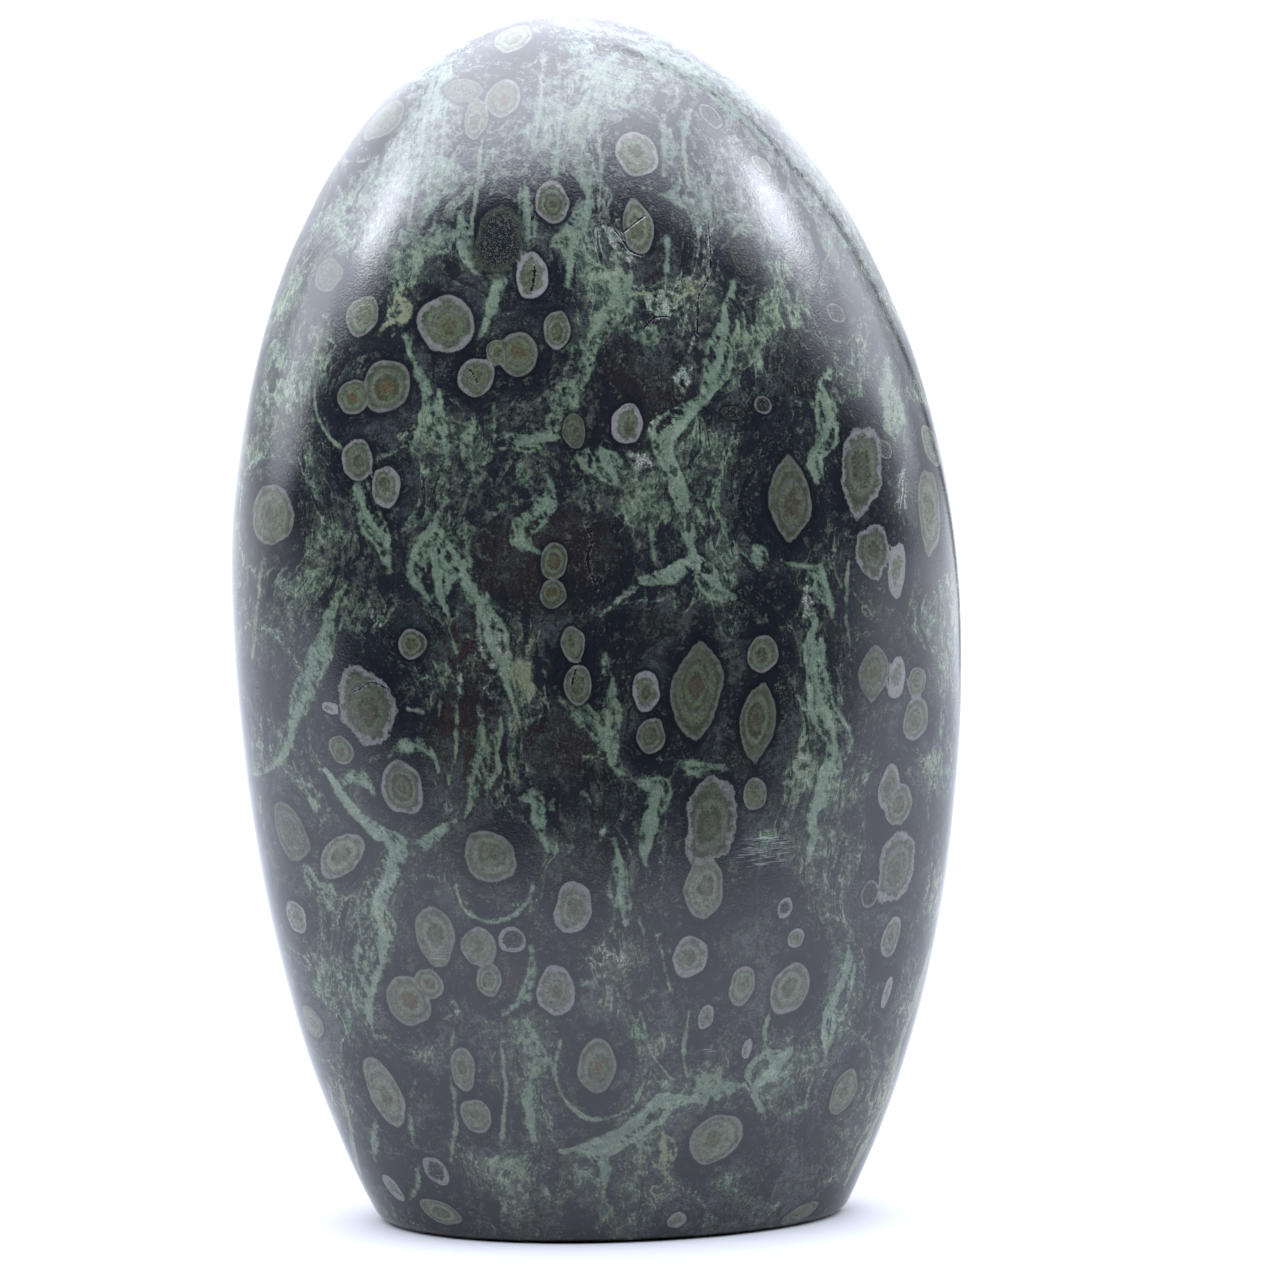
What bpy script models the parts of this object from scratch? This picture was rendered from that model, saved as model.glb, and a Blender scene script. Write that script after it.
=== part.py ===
"""A standing freeform of kambaba jasper, ground and polished from one lump of rock.

The stone is an egg-like form, broad from side to side and flatter from front to back. Its
top leans a little to the left, and its underside is ground to a flat spot that it stands on.
Metres, +Z up, the broad front face towards -Y, origin under the middle of the stone's box.
"""

import math

import bmesh
import bpy

# Driving dimensions of the form.
HEIGHT = 0.120
WIDEST_HEIGHT = 0.0621
HALF_WIDTH = 0.0364
HALF_DEPTH = 0.0210

# The front bulges this much further than the back.
FRONT_BULGE = 0.0010

# The stone is this share thicker at its left side, and as much thinner at its right.
WEDGE = 0.12

# The lower half is part of a taller egg, which reaches this far under the widest height
# and is cut off by the flat spot.
UNCUT_DROP = 0.0803

# How full the outline is above and below the widest height. 2 is an ellipse.
FULLNESS_ABOVE = 1.86
FULLNESS_BELOW = 2.05

# The spine runs from a point right of the middle, at the foot, to one left of it, at the top.
FOOT_SHIFT = 0.0016
TOP_SHIFT = -0.0029
SPINE_BOW = 0.0009

# The edge round the flat spot is eased by the polishing.
FOOT_EDGE_ROUND = 0.0012
FOOT_EDGE_STEPS = 3
SHARP_ANGLE = math.radians(35.0)

# Divisions round and along the stone.
SEGMENTS = 80
RINGS = 52

# Colour and polish of the rock as a whole, a very dark green.
ROCK_COLOUR = (0.030, 0.042, 0.036, 1.0)
ROCK_ROUGHNESS = 0.16


def clear_scene():
    for thing in list(bpy.data.objects):
        bpy.data.objects.remove(thing, do_unlink=True)


def spine_shift(height):
    """Sideways place of the stone's middle at a height above the flat spot."""
    share = max(0.0, min(1.0, height / HEIGHT))
    lean = FOOT_SHIFT + (TOP_SHIFT - FOOT_SHIFT) * share
    return lean + SPINE_BOW * math.sin(math.pi * share)


def shape_point(unit):
    """Move a point of the unit sphere to its place on the uncut egg."""
    above = unit.z > 0.0
    fullness = FULLNESS_ABOVE if above else FULLNESS_BELOW
    reach = HEIGHT - WIDEST_HEIGHT if above else UNCUT_DROP
    ring = math.sqrt(max(0.0, 1.0 - abs(unit.z) ** fullness))
    turn = math.atan2(unit.y, unit.x)
    across = ring * math.cos(turn)
    back = ring * math.sin(turn)
    height = WIDEST_HEIGHT + reach * unit.z
    unit.x = spine_shift(height) + HALF_WIDTH * across
    unit.y = HALF_DEPTH * back * (1.0 - WEDGE * across) - FRONT_BULGE * back * back
    unit.z = height


def centre_on_origin(mesh_data):
    """Put the middle of the form's box over the origin."""
    for axis in (0, 1):
        places = [vertex.co[axis] for vertex in mesh_data.verts]
        middle = (min(places) + max(places)) / 2.0
        for vertex in mesh_data.verts:
            vertex.co[axis] -= middle


def rock_material():
    material = bpy.data.materials.new("polished_rock")
    material.use_nodes = True
    shader = material.node_tree.nodes["Principled BSDF"]
    shader.inputs["Base Color"].default_value = ROCK_COLOUR
    shader.inputs["Roughness"].default_value = ROCK_ROUGHNESS
    shader.inputs["Metallic"].default_value = 0.0
    return material


def build_stone(collection):
    form = bmesh.new()
    bmesh.ops.create_uvsphere(form, u_segments=SEGMENTS, v_segments=RINGS, radius=1.0)
    for vertex in form.verts:
        shape_point(vertex.co)

    # Grind the flat spot: cut the egg at height zero and close it with one flat face.
    cut = bmesh.ops.bisect_plane(
        form,
        geom=form.verts[:] + form.edges[:] + form.faces[:],
        plane_co=(0.0, 0.0, 0.0),
        plane_no=(0.0, 0.0, 1.0),
        clear_inner=True,
    )
    rim = [part for part in cut["geom_cut"] if isinstance(part, bmesh.types.BMEdge)]
    bmesh.ops.edgeloop_fill(form, edges=rim)
    bmesh.ops.recalc_face_normals(form, faces=form.faces[:])
    centre_on_origin(form)

    mesh = bpy.data.meshes.new("stone")
    form.to_mesh(mesh)
    form.free()
    mesh.shade_smooth()
    mesh.set_sharp_from_angle(angle=SHARP_ANGLE)
    mesh.materials.append(rock_material())

    stone = bpy.data.objects.new("stone", mesh)
    collection.objects.link(stone)
    easing = stone.modifiers.new("eased_foot_edge", "BEVEL")
    easing.width = FOOT_EDGE_ROUND
    easing.segments = FOOT_EDGE_STEPS
    easing.limit_method = "ANGLE"
    easing.angle_limit = SHARP_ANGLE
    return stone


def main():
    clear_scene()
    collection = bpy.data.collections.new("kambaba_jasper")
    bpy.context.scene.collection.children.link(collection)
    build_stone(collection)


main()
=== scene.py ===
"""Looks of a polished freeform of kambaba jasper: its fine surface, its pattern and its polish.

The front's orbs and veins are placed by pixels of the photograph, read in its frame of
1280 x 1280. Each pixel is carried along its line of sight onto the stone, so that a marking
lies on the surface from every side. Round the sides and over the back the pattern grows from
a fixed seed. Each vertex holds smooth fields, such as how far it is from the nearest orb or
vein, and the rock's material turns them into rims, rings, lace, pores and specks.
"""

import math
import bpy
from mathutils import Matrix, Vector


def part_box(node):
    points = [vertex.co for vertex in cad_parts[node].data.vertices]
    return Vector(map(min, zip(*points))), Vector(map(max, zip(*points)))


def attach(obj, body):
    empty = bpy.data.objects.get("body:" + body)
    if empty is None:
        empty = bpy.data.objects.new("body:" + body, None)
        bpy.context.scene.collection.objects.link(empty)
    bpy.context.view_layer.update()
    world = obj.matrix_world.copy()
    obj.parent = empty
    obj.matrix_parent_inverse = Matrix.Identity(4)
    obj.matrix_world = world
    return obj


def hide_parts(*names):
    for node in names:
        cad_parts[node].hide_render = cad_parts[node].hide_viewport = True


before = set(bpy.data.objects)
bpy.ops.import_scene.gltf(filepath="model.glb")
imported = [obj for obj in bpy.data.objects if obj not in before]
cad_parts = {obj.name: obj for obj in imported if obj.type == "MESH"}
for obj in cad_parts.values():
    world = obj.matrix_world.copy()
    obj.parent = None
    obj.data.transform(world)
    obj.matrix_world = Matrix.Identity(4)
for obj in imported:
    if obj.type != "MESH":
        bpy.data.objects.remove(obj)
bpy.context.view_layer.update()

from types import SimpleNamespace

import bpy
import numpy as np
from mathutils import Matrix, Vector
from mathutils.bvhtree import BVHTree

LOW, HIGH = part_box("stone")
MM = 0.001

# Form of the stone in millimetres. Its height comes from the frame.
HEIGHT = (HIGH.z - LOW.z) / MM
WIDEST_HEIGHT = 62.1
HALF_WIDTH = 36.4
HALF_DEPTH = 21.0
FRONT_BULGE = 1.0
WEDGE = 0.12
UNCUT_DROP = 80.3
FULLNESS_ABOVE = 1.86
FULLNESS_BELOW = 2.05
FOOT_SHIFT = 1.6
TOP_SHIFT = -2.9
SPINE_BOW = 0.9
FOOT_EDGE_HEIGHT = 1.0
FOOT_EDGE_INSET = 1.1

# Unevenness of the polish: direction and phase of each wave, then height and length in millimetres.
WAVES = (
    (0.9, 0.2, 0.5, 0.4), (-0.5, 0.3, 1.0, 2.1), (0.3, -0.8, -0.7, 4.0), (1.3, 0.4, -0.6, 5.2),
    (0.2, 0.9, 1.4, 1.3),
)
WAVE_HEIGHT = 0.012
WAVE_LENGTH = 18.0

# The fine mesh: rings along the wall, columns on the front and the back half.
WALL_RINGS = 296
FRONT_COLUMNS = 204
BACK_COLUMNS = 120
EDGE_RING_SHARES = (0.8, 0.6, 0.42, 0.26, 0.13, 0.04, 0.0)
FLAT_RING_SHARES = (0.9, 0.66, 0.4, 0.16)

# The camera stands left of the front, a little above the middle of the stone. Lengths are in
# millimetres, apart from how far it sees, in metres.
PHOTO_SIZE = 1280
CAMERA_DISTANCE = 650.0
CAMERA_AZIMUTH = math.radians(8.0)
CAMERA_ELEVATION = math.radians(7.0)
CAMERA_AIM = (4.13, 0.99, 57.9)
FOCAL_PIXELS = 6547.0
SENSOR_WIDTH = 36.0
FARTHEST_SEEN = 20.0

# How an orb looks: rim width as a share of its radius, rim brightness, outer ring, rust in the
# centre, darkness of the core, yellowness of the core, roughness of the outline, strength of
# the rings, how pointed its two ends are, and paleness of the core.
ORB_STYLES = {
    "plain": (0.13, 0.60, 0.0, 0.35, 0.0, 0.4, 0.20, 0.6, 0.0, 0.22),
    "wide": (0.26, 1.00, 0.3, 0.2, 0.0, 0.3, 0.20, 0.4, 0.0, 0.4),
    "eye": (0.15, 1.00, 0.9, 0.1, 0.0, 0.3, 0.12, 0.5, 0.0, 0.6),
    "rust": (0.12, 0.50, 0.2, 1.0, 0.0, 0.5, 0.10, 0.7, 0.0, 0.1),
    "ringed": (0.16, 0.70, 0.3, 0.4, 0.1, 0.5, 0.20, 1.0, 0.0, 0.15),
    "green": (0.11, 0.42, 0.0, 0.2, 0.0, 0.5, 0.30, 0.5, 0.0, 0.25),
    "dark": (0.06, 0.10, 0.0, 0.0, 1.0, 0.0, 0.50, 0.3, 0.0, 0.0),
    "faint": (0.10, 0.25, 0.0, 0.1, 0.3, 0.2, 0.30, 0.3, 0.0, 0.2),
    "grey": (0.22, 0.80, 0.0, 0.35, 0.1, 0.1, 0.35, 0.4, 0.0, 0.5),
    "pale": (0.45, 0.90, 0.0, 0.0, 0.0, 0.0, 0.40, 0.1, 0.0, 0.9),
    "lilac": (0.30, 0.90, 0.2, 0.0, 0.9, 0.0, 0.20, 0.2, 0.0, 0.3),
    "rough": (0.15, 0.75, 0.0, 0.5, 0.25, 0.5, 0.80, 0.9, 0.0, 0.15),
    "spindle": (0.10, 0.40, 0.0, 0.6, 0.1, 0.6, 0.35, 0.8, 0.65, 0.1),
    "drop": (0.12, 0.55, 0.0, 0.35, 0.0, 0.4, 0.30, 0.6, 0.30, 0.35),
    "open": (0.14, 0.60, 0.0, 0.0, 0.9, 0.2, 0.30, 0.2, 0.0, 0.0),
}

# Orbs of the front: x, y, half width and half height in pixels, style, and tilt in degrees
# where an orb has one.
ORBS = (
    (513, 38, 17, 13, "green"), (463, 90, 16, 13, "faint", 30), (503, 98, 17, 19, "rust"),
    (476, 119, 12, 19, "green"), (383, 120, 12, 24, "faint", 35), (637, 154, 21, 22, "eye"),
    (711, 116, 10, 10, "open"), (630, 53, 10, 5, "open"), (762, 165, 8, 8, "rough"),
    (552, 202, 17, 21, "ringed"), (638, 227, 15, 28, "drop"), (499, 240, 25, 31, "dark"),
    (744, 258, 12, 18, "dark"), (328, 275, 13, 17, "faint", 20), (532, 276, 17, 22, "wide"),
    (362, 316, 16, 21, "drop", 20), (446, 324, 28, 29, "ringed"), (836, 313, 9, 9, "open"),
    (557, 330, 13, 20, "plain"), (518, 354, 19, 23, "rust"), (497, 352, 10, 13, "green"),
    (476, 377, 17, 21, "ringed", 25), (386, 386, 24, 26, "rust"), (353, 397, 16, 17, "rust"),
    (627, 424, 16, 20, "wide"), (574, 431, 12, 17, "faint"), (763, 405, 9, 9, "open"),
    (733, 413, 12, 7, "dark"), (932, 446, 8, 16, "plain"), (862, 470, 21, 43, "rough"),
    (886, 450, 6, 9, "open"), (357, 460, 16, 20, "ringed"), (386, 487, 15, 20, "grey"),
    (271, 515, 20, 31, "green"), (790, 499, 22, 42, "spindle"), (930, 511, 11, 34, "green", 15),
    (873, 551, 15, 30, "rough"), (897, 570, 9, 27, "pale"), (554, 561, 14, 18, "rust"),
    (553, 594, 13, 15, "rust"), (412, 644, 14, 15, "ringed"), (573, 644, 12, 18, "plain"),
    (578, 685, 14, 20, "plain"), (763, 654, 15, 19, "plain"), (874, 673, 16, 27, "spindle"),
    (897, 678, 8, 22, "pale"), (917, 682, 9, 15, "plain"), (916, 719, 12, 22, "plain"),
    (646, 691, 14, 20, "wide"), (651, 736, 14, 18, "plain"), (697, 691, 25, 51, "spindle"),
    (366, 706, 28, 39, "rough"), (341, 750, 12, 14, "rust"), (330, 708, 8, 6, "pale"),
    (758, 722, 18, 40, "spindle"), (402, 788, 20, 28, "ringed"), (755, 794, 12, 16, "plain"),
    (290, 832, 16, 26, "faint"), (341, 856, 27, 18, "drop", -35), (490, 857, 27, 25, "green"),
    (711, 821, 28, 40, "rough"), (704, 889, 20, 30, "drop"), (573, 908, 19, 26, "grey"),
    (785, 908, 7, 11, "lilac"), (796, 938, 8, 10, "grey"), (889, 787, 10, 22, "grey"),
    (899, 805, 13, 20, "plain"), (897, 867, 19, 32, "rough"), (870, 894, 9, 13, "open"),
    (891, 937, 9, 18, "grey"), (296, 917, 9, 17, "grey", -15), (435, 936, 19, 30, "green"),
    (479, 947, 17, 20, "plain"), (489, 980, 13, 16, "plain"), (512, 940, 14, 13, "lilac"),
    (556, 991, 19, 25, "grey"), (690, 957, 18, 20, "grey"), (429, 984, 14, 15, "rust"),
    (408, 1001, 22, 24, "rust"), (742, 986, 13, 19, "plain"), (790, 989, 18, 26, "plain"),
    (887, 992, 4, 14, "pale"), (706, 1017, 8, 12, "grey"), (312, 1022, 8, 16, "green", -15),
    (747, 1049, 5, 10, "pale"), (597, 1066, 19, 27, "rust"), (384, 1092, 17, 31, "drop"),
    (463, 1069, 12, 22, "plain"), (476, 1116, 16, 16, "plain"), (844, 1092, 11, 24, "green", 25),
    (716, 1139, 23, 28, "drop", 20), (436, 1171, 12, 13, "lilac"), (393, 1188, 7, 9, "pale"),
    (440, 1212, 18, 11, "green"), (677, 1220, 9, 8, "pale"), (800, 1214, 15, 8, "green"),
)

# Dark fields round the orbs: x, y, half width and half height in pixels, brownness.
HALOS = (
    (455, 300, 52, 50, 0.2), (372, 392, 52, 50, 0.1), (545, 560, 80, 62, 0.8),
    (600, 560, 40, 50, 0.0), (778, 496, 58, 74, 0.0), (640, 395, 62, 66, 0.5),
    (650, 235, 50, 45, 0.4), (800, 365, 38, 38, 0.2), (365, 715, 64, 62, 0.0),
    (490, 860, 44, 47, 0.4), (580, 800, 46, 46, 0.2), (760, 730, 42, 62, 0.1),
    (560, 745, 40, 34, 1.0), (474, 650, 30, 40, 1.0), (515, 970, 26, 30, 0.8),
    (765, 600, 40, 30, 0.0), (700, 700, 44, 70, 0.2), (500, 240, 34, 40, 0.0),
    (730, 900, 70, 50, 0.1), (780, 980, 55, 60, 0.3), (600, 1065, 42, 44, 0.3),
    (420, 1100, 60, 40, 0.3), (810, 1150, 60, 45, 0.4), (265, 675, 32, 45, 0.6),
    (885, 690, 40, 70, 0.3), (895, 880, 40, 70, 0.3), (430, 960, 45, 60, 0.2),
    (466, 745, 44, 66, 1.0), (600, 860, 30, 34, 0.3),
    (640, 650, 60, 50, 0.2), (700, 980, 60, 60, 0.2), (290, 830, 30, 44, 0.4),
)

# How a vein looks: brightness, yellowness, greyness, laciness.
VEIN_TONES = {
    "sage": (1.00, 0.0, 0.0, 0.25),
    "dim": (0.60, 0.1, 0.0, 0.45),
    "bright": (1.25, 0.0, 0.1, 0.15),
    "lace": (0.90, 0.2, 0.0, 0.90),
    "yellow": (1.10, 0.9, 0.0, 0.50),
    "grey": (1.20, 0.2, 1.0, 0.60),
    "blue": (0.70, 0.0, 0.6, 0.30),
    "strand": (0.45, 0.30, 0.0, 0.0),
}

# Veins of the front: tone, width in pixels, then the points that the vein runs through.
VEINS = (
    ("sage", 12, (445, 70), (438, 100), (430, 120)),
    ("dim", 7, (600, 70), (615, 55), (640, 50), (660, 60), (690, 75), (720, 95), (745, 120),
     (765, 140)),
    ("dim", 7, (665, 110), (665, 175)),
    ("sage", 7, (525, 180), (526, 215), (528, 240), (520, 262)),
    ("sage", 8, (590, 175), (588, 205), (580, 220), (572, 235), (570, 260), (567, 285)),
    ("sage", 6, (570, 225), (552, 245), (553, 258)),
    ("dim", 3, (665, 195), (685, 206), (697, 214)),
    ("dim", 4, (705, 190), (703, 215)),
    ("sage", 9, (460, 215), (465, 250), (480, 265), (505, 272), (495, 290), (490, 310), (484, 330),
     (478, 340)),
    ("sage", 8, (580, 278), (620, 274), (626, 300), (600, 320), (590, 340)),
    ("lace", 4, (575, 345), (565, 375), (555, 400), (548, 420), (540, 440)),
    ("lace", 4, (588, 345), (578, 375), (566, 400), (558, 425), (548, 440)),
    ("lace", 4, (600, 340), (590, 370), (577, 395), (566, 420)),
    ("sage", 10, (500, 446), (530, 440), (560, 438)),
    ("lace", 6, (472, 420), (470, 450), (475, 480)),
    ("dim", 4, (495, 405), (493, 440)),
    ("lace", 9, (400, 240), (415, 262), (410, 288)),
    ("sage", 9, (400, 232), (430, 240), (458, 232)),
    ("yellow", 9, (396, 296), (404, 312), (382, 328)),
    ("sage", 7, (405, 335), (412, 365), (422, 385), (424, 400), (417, 430), (411, 447)),
    ("sage", 7, (437, 385), (441, 405), (436, 420), (443, 440), (447, 470)),
    ("dim", 4, (372, 462), (385, 455)),
    ("grey", 7, (600, 225), (608, 234), (616, 250), (632, 262)),
    ("sage", 7, (615, 250), (616, 284), (620, 291), (616, 305), (612, 320)),
    ("sage", 5, (632, 270), (630, 284)),
    ("sage", 5, (667, 238), (667, 256), (665, 281)),
    ("yellow", 4, (628, 294), (647, 294), (657, 290)),
    ("yellow", 5, (668, 300), (683, 295), (692, 289)),
    ("grey", 14, (662, 292), (668, 316)),
    ("grey", 9, (641, 324), (647, 328)),
    ("dim", 14, (655, 328), (654, 350)),
    ("grey", 12, (692, 370), (684, 390)),
    ("grey", 9, (645, 452), (635, 478)),
    ("blue", 2, (702, 236), (704, 248), (702, 266), (698, 277)),
    ("blue", 2, (695, 336), (690, 349), (681, 366)),
    ("grey", 2, (655, 415), (648, 435)),
    ("sage", 12, (734, 284), (728, 300), (726, 326), (721, 354), (714, 375), (704, 404)),
    ("lace", 10, (745, 220), (735, 235)),
    ("bright", 14, (700, 400), (680, 425), (668, 445), (675, 465), (680, 485), (687, 510), (690, 540),
     (692, 555)),
    ("sage", 12, (830, 370), (827, 390), (828, 420), (822, 440), (812, 455), (818, 480)),
    ("lace", 13, (888, 358), (886, 400), (892, 438)),
    ("sage", 10, (358, 470), (362, 500), (372, 525), (385, 545), (390, 570)),
    ("dim", 9, (345, 585), (330, 610), (318, 650), (305, 685), (292, 730), (285, 755), (268, 770),
     (250, 775)),
    ("sage", 6, (338, 600), (325, 640), (312, 680), (298, 720), (288, 750)),
    ("sage", 8, (447, 500), (437, 515), (435, 525), (418, 545), (412, 575), (430, 600)),
    ("sage", 11, (433, 540), (434, 562), (438, 581), (443, 599), (449, 615)),
    ("sage", 7, (440, 530), (450, 545), (462, 570), (478, 600)),
    ("dim", 4, (470, 480), (465, 510), (465, 540)),
    ("bright", 13, (465, 560), (466, 578), (481, 596), (484, 614), (491, 646), (500, 660), (508, 690),
     (514, 712)),
    ("sage", 5, (484, 592), (492, 610), (497, 628), (500, 645)),
    ("yellow", 5, (530, 640), (525, 655), (522, 690), (524, 704)),
    ("sage", 9, (548, 475), (552, 495), (545, 505), (535, 517), (522, 525), (520, 540), (530, 550),
     (540, 555)),
    ("sage", 14, (600, 450), (610, 470), (620, 485)),
    ("sage", 10, (575, 455), (595, 475)),
    ("bright", 10, (681, 498), (687, 518), (690, 538), (691, 556)),
    ("bright", 12, (692, 555), (670, 570), (650, 585), (640, 580)),
    ("bright", 12, (692, 555), (705, 575), (722, 590), (735, 597)),
    ("dim", 4, (648, 480), (648, 510), (652, 540), (655, 560)),
    ("dim", 3, (632, 500), (636, 530)),
    ("blue", 4, (600, 615), (660, 570)),
    ("sage", 6, (755, 545), (763, 565)),
    ("dim", 3, (780, 560), (800, 566), (820, 565)),
    ("sage", 8, (820, 565), (827, 590), (833, 615)),
    ("grey", 8, (808, 580), (806, 615)),
    ("bright", 12, (815, 620), (812, 650), (820, 700), (828, 720), (835, 735), (833, 760), (822, 785),
     (815, 810), (813, 835), (808, 860)),
    ("sage", 5, (822, 640), (828, 700)),
    ("strand", 3, (433, 660), (440, 676), (442, 692), (440, 708), (438, 721)),
    ("strand", 3, (447, 621), (452, 637), (457, 656), (460, 674), (459, 696)),
    ("strand", 5, (457, 703), (457, 730), (456, 753), (450, 774), (448, 785)),
    ("strand", 6, (478, 706), (481, 731), (482, 753), (474, 774), (471, 797), (464, 819)),
    ("strand", 6, (502, 715), (500, 735), (497, 756), (499, 771), (491, 781), (486, 796)),
    ("strand", 4, (430, 746), (435, 760), (438, 771), (435, 789)),
    ("strand", 3, (519, 717), (522, 735), (520, 756), (518, 776)),
    ("sage", 6, (390, 755), (405, 745), (420, 745), (430, 755)),
    ("bright", 11, (408, 708), (422, 712)),
    ("sage", 8, (613, 675), (610, 720), (607, 745), (615, 770), (625, 775)),
    ("dim", 6, (560, 700), (590, 720), (605, 745)),
    ("yellow", 5, (580, 757), (595, 757)),
    ("dim", 4, (605, 655), (605, 675)),
    ("dim", 7, (680, 762), (725, 768)),
    ("lace", 4, (340, 592), (352, 612), (360, 630)),
    ("grey", 2, (350, 630), (362, 627)),
    ("sage", 6, (300, 775), (318, 815)),
    ("bright", 11, (325, 770), (345, 800), (360, 820), (380, 835), (395, 850), (385, 880), (375, 905),
     (382, 930), (378, 960), (372, 985), (370, 1010), (375, 1035)),
    ("sage", 5, (360, 930), (357, 965), (365, 990)),
    ("sage", 7, (395, 850), (420, 842), (440, 828), (455, 820)),
    ("sage", 6, (340, 790), (350, 780), (365, 785), (375, 795)),
    ("sage", 7, (305, 867), (320, 885), (335, 900)),
    ("sage", 7, (520, 800), (532, 800), (535, 820), (548, 852)),
    ("dim", 4, (553, 799), (553, 812)),
    ("dim", 4, (585, 790), (590, 805)),
    ("sage", 10, (640, 785), (660, 785), (655, 800), (650, 830), (645, 865)),
    ("blue", 5, (605, 825), (600, 845)),
    ("sage", 9, (615, 840), (622, 870), (618, 895), (626, 925)),
    ("bright", 5, (455, 885), (462, 905), (475, 917), (495, 922), (515, 915), (527, 900), (535, 880)),
    ("sage", 6, (530, 945), (530, 965), (525, 985), (515, 1005), (505, 1015)),
    ("dim", 4, (537, 975), (530, 1005)),
    ("lace", 12, (525, 1020), (535, 1060), (528, 1090), (535, 1140)),
    ("grey", 8, (595, 947), (595, 953)),
    ("lace", 12, (582, 985), (598, 985)),
    ("dim", 4, (640, 920), (645, 935)),
    ("blue", 3, (660, 945), (670, 990)),
    ("dim", 6, (640, 1000), (655, 990)),
    ("dim", 6, (635, 1020), (640, 1055)),
    ("bright", 10, (850, 945), (848, 965), (840, 985), (832, 1005), (825, 1020), (825, 1055)),
    ("bright", 22, (790, 1050), (780, 1065), (765, 1080), (755, 1095), (760, 1110)),
    ("sage", 6, (745, 1085), (720, 1088), (705, 1100)),
    ("lace", 10, (705, 1065), (703, 1105)),
    ("lace", 6, (720, 1065), (720, 1100)),
    ("bright", 15, (560, 1150), (600, 1143), (625, 1130), (645, 1115), (665, 1100), (700, 1100)),
    ("sage", 8, (575, 1165), (580, 1185)),
    ("sage", 16, (605, 1150), (605, 1195)),
    ("sage", 8, (640, 1130), (640, 1160)),
    ("yellow", 8, (662, 1130), (665, 1175)),
    ("dim", 4, (818, 1065), (808, 1090), (805, 1110)),
    ("dim", 4, (415, 1080), (411, 1110), (413, 1140)),
    ("sage", 5, (418, 1170), (418, 1185), (410, 1200)),
    ("blue", 4, (452, 1000), (458, 1012), (440, 1022)),
    ("dim", 5, (375, 1120), (375, 1160)),
    ("strand", 5, (322, 360), (314, 392), (322, 428), (346, 450), (380, 457), (412, 442)),
    ("strand", 5, (560, 1040), (555, 1075), (570, 1106), (597, 1120), (630, 1108), (646, 1078)),
    ("strand", 5, (408, 96), (400, 150), (390, 212)),
    ("strand", 5, (428, 92), (420, 160), (409, 226)),
    ("strand", 5, (452, 60), (446, 112), (440, 165)),
    ("strand", 5, (482, 140), (475, 200), (470, 255)),
    ("strand", 5, (563, 106), (556, 172), (560, 205)),
    ("strand", 5, (577, 110), (582, 172), (590, 200)),
    ("strand", 5, (596, 116), (602, 176), (598, 210)),
    ("strand", 5, (543, 58), (538, 120), (530, 160)),
    ("strand", 5, (690, 110), (684, 150), (690, 190)),
    ("strand", 5, (850, 560), (846, 600), (850, 650)),
    ("strand", 5, (262, 560), (256, 610), (252, 660)),
    ("strand", 5, (690, 1010), (684, 1050), (690, 1085)),
    ("strand", 5, (455, 1030), (450, 1070), (456, 1120), (450, 1160)),
    ("strand", 5, (500, 1040), (506, 1090), (500, 1150)),
    ("strand", 5, (770, 1010), (764, 1035), (770, 1060)),
    ("strand", 4, (340, 1080), (350, 1130), (362, 1180)),
    ("strand", 4, (640, 1010), (650, 1050), (672, 1080)),
)

# Black cracks of the front, with a fringe of grey crystals: the points that each runs through.
CRACKS = (
    ((709, 228), (711, 255), (709, 279), (699, 298), (697, 318), (697, 335)),
    ((644, 329), (655, 319), (669, 318)), ((612, 229), (620, 238), (630, 252), (642, 256)),
    ((624, 232), (634, 224), (645, 216)),
    ((533, 262), (535, 276), (532, 291)), ((470, 369), (477, 384)),
    ((585, 520), (592, 540), (588, 560), (596, 590)),
    ((575, 668), (571, 684)), ((355, 690), (372, 682), (388, 690)), ((745, 1080), (752, 1094)),
)

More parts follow.
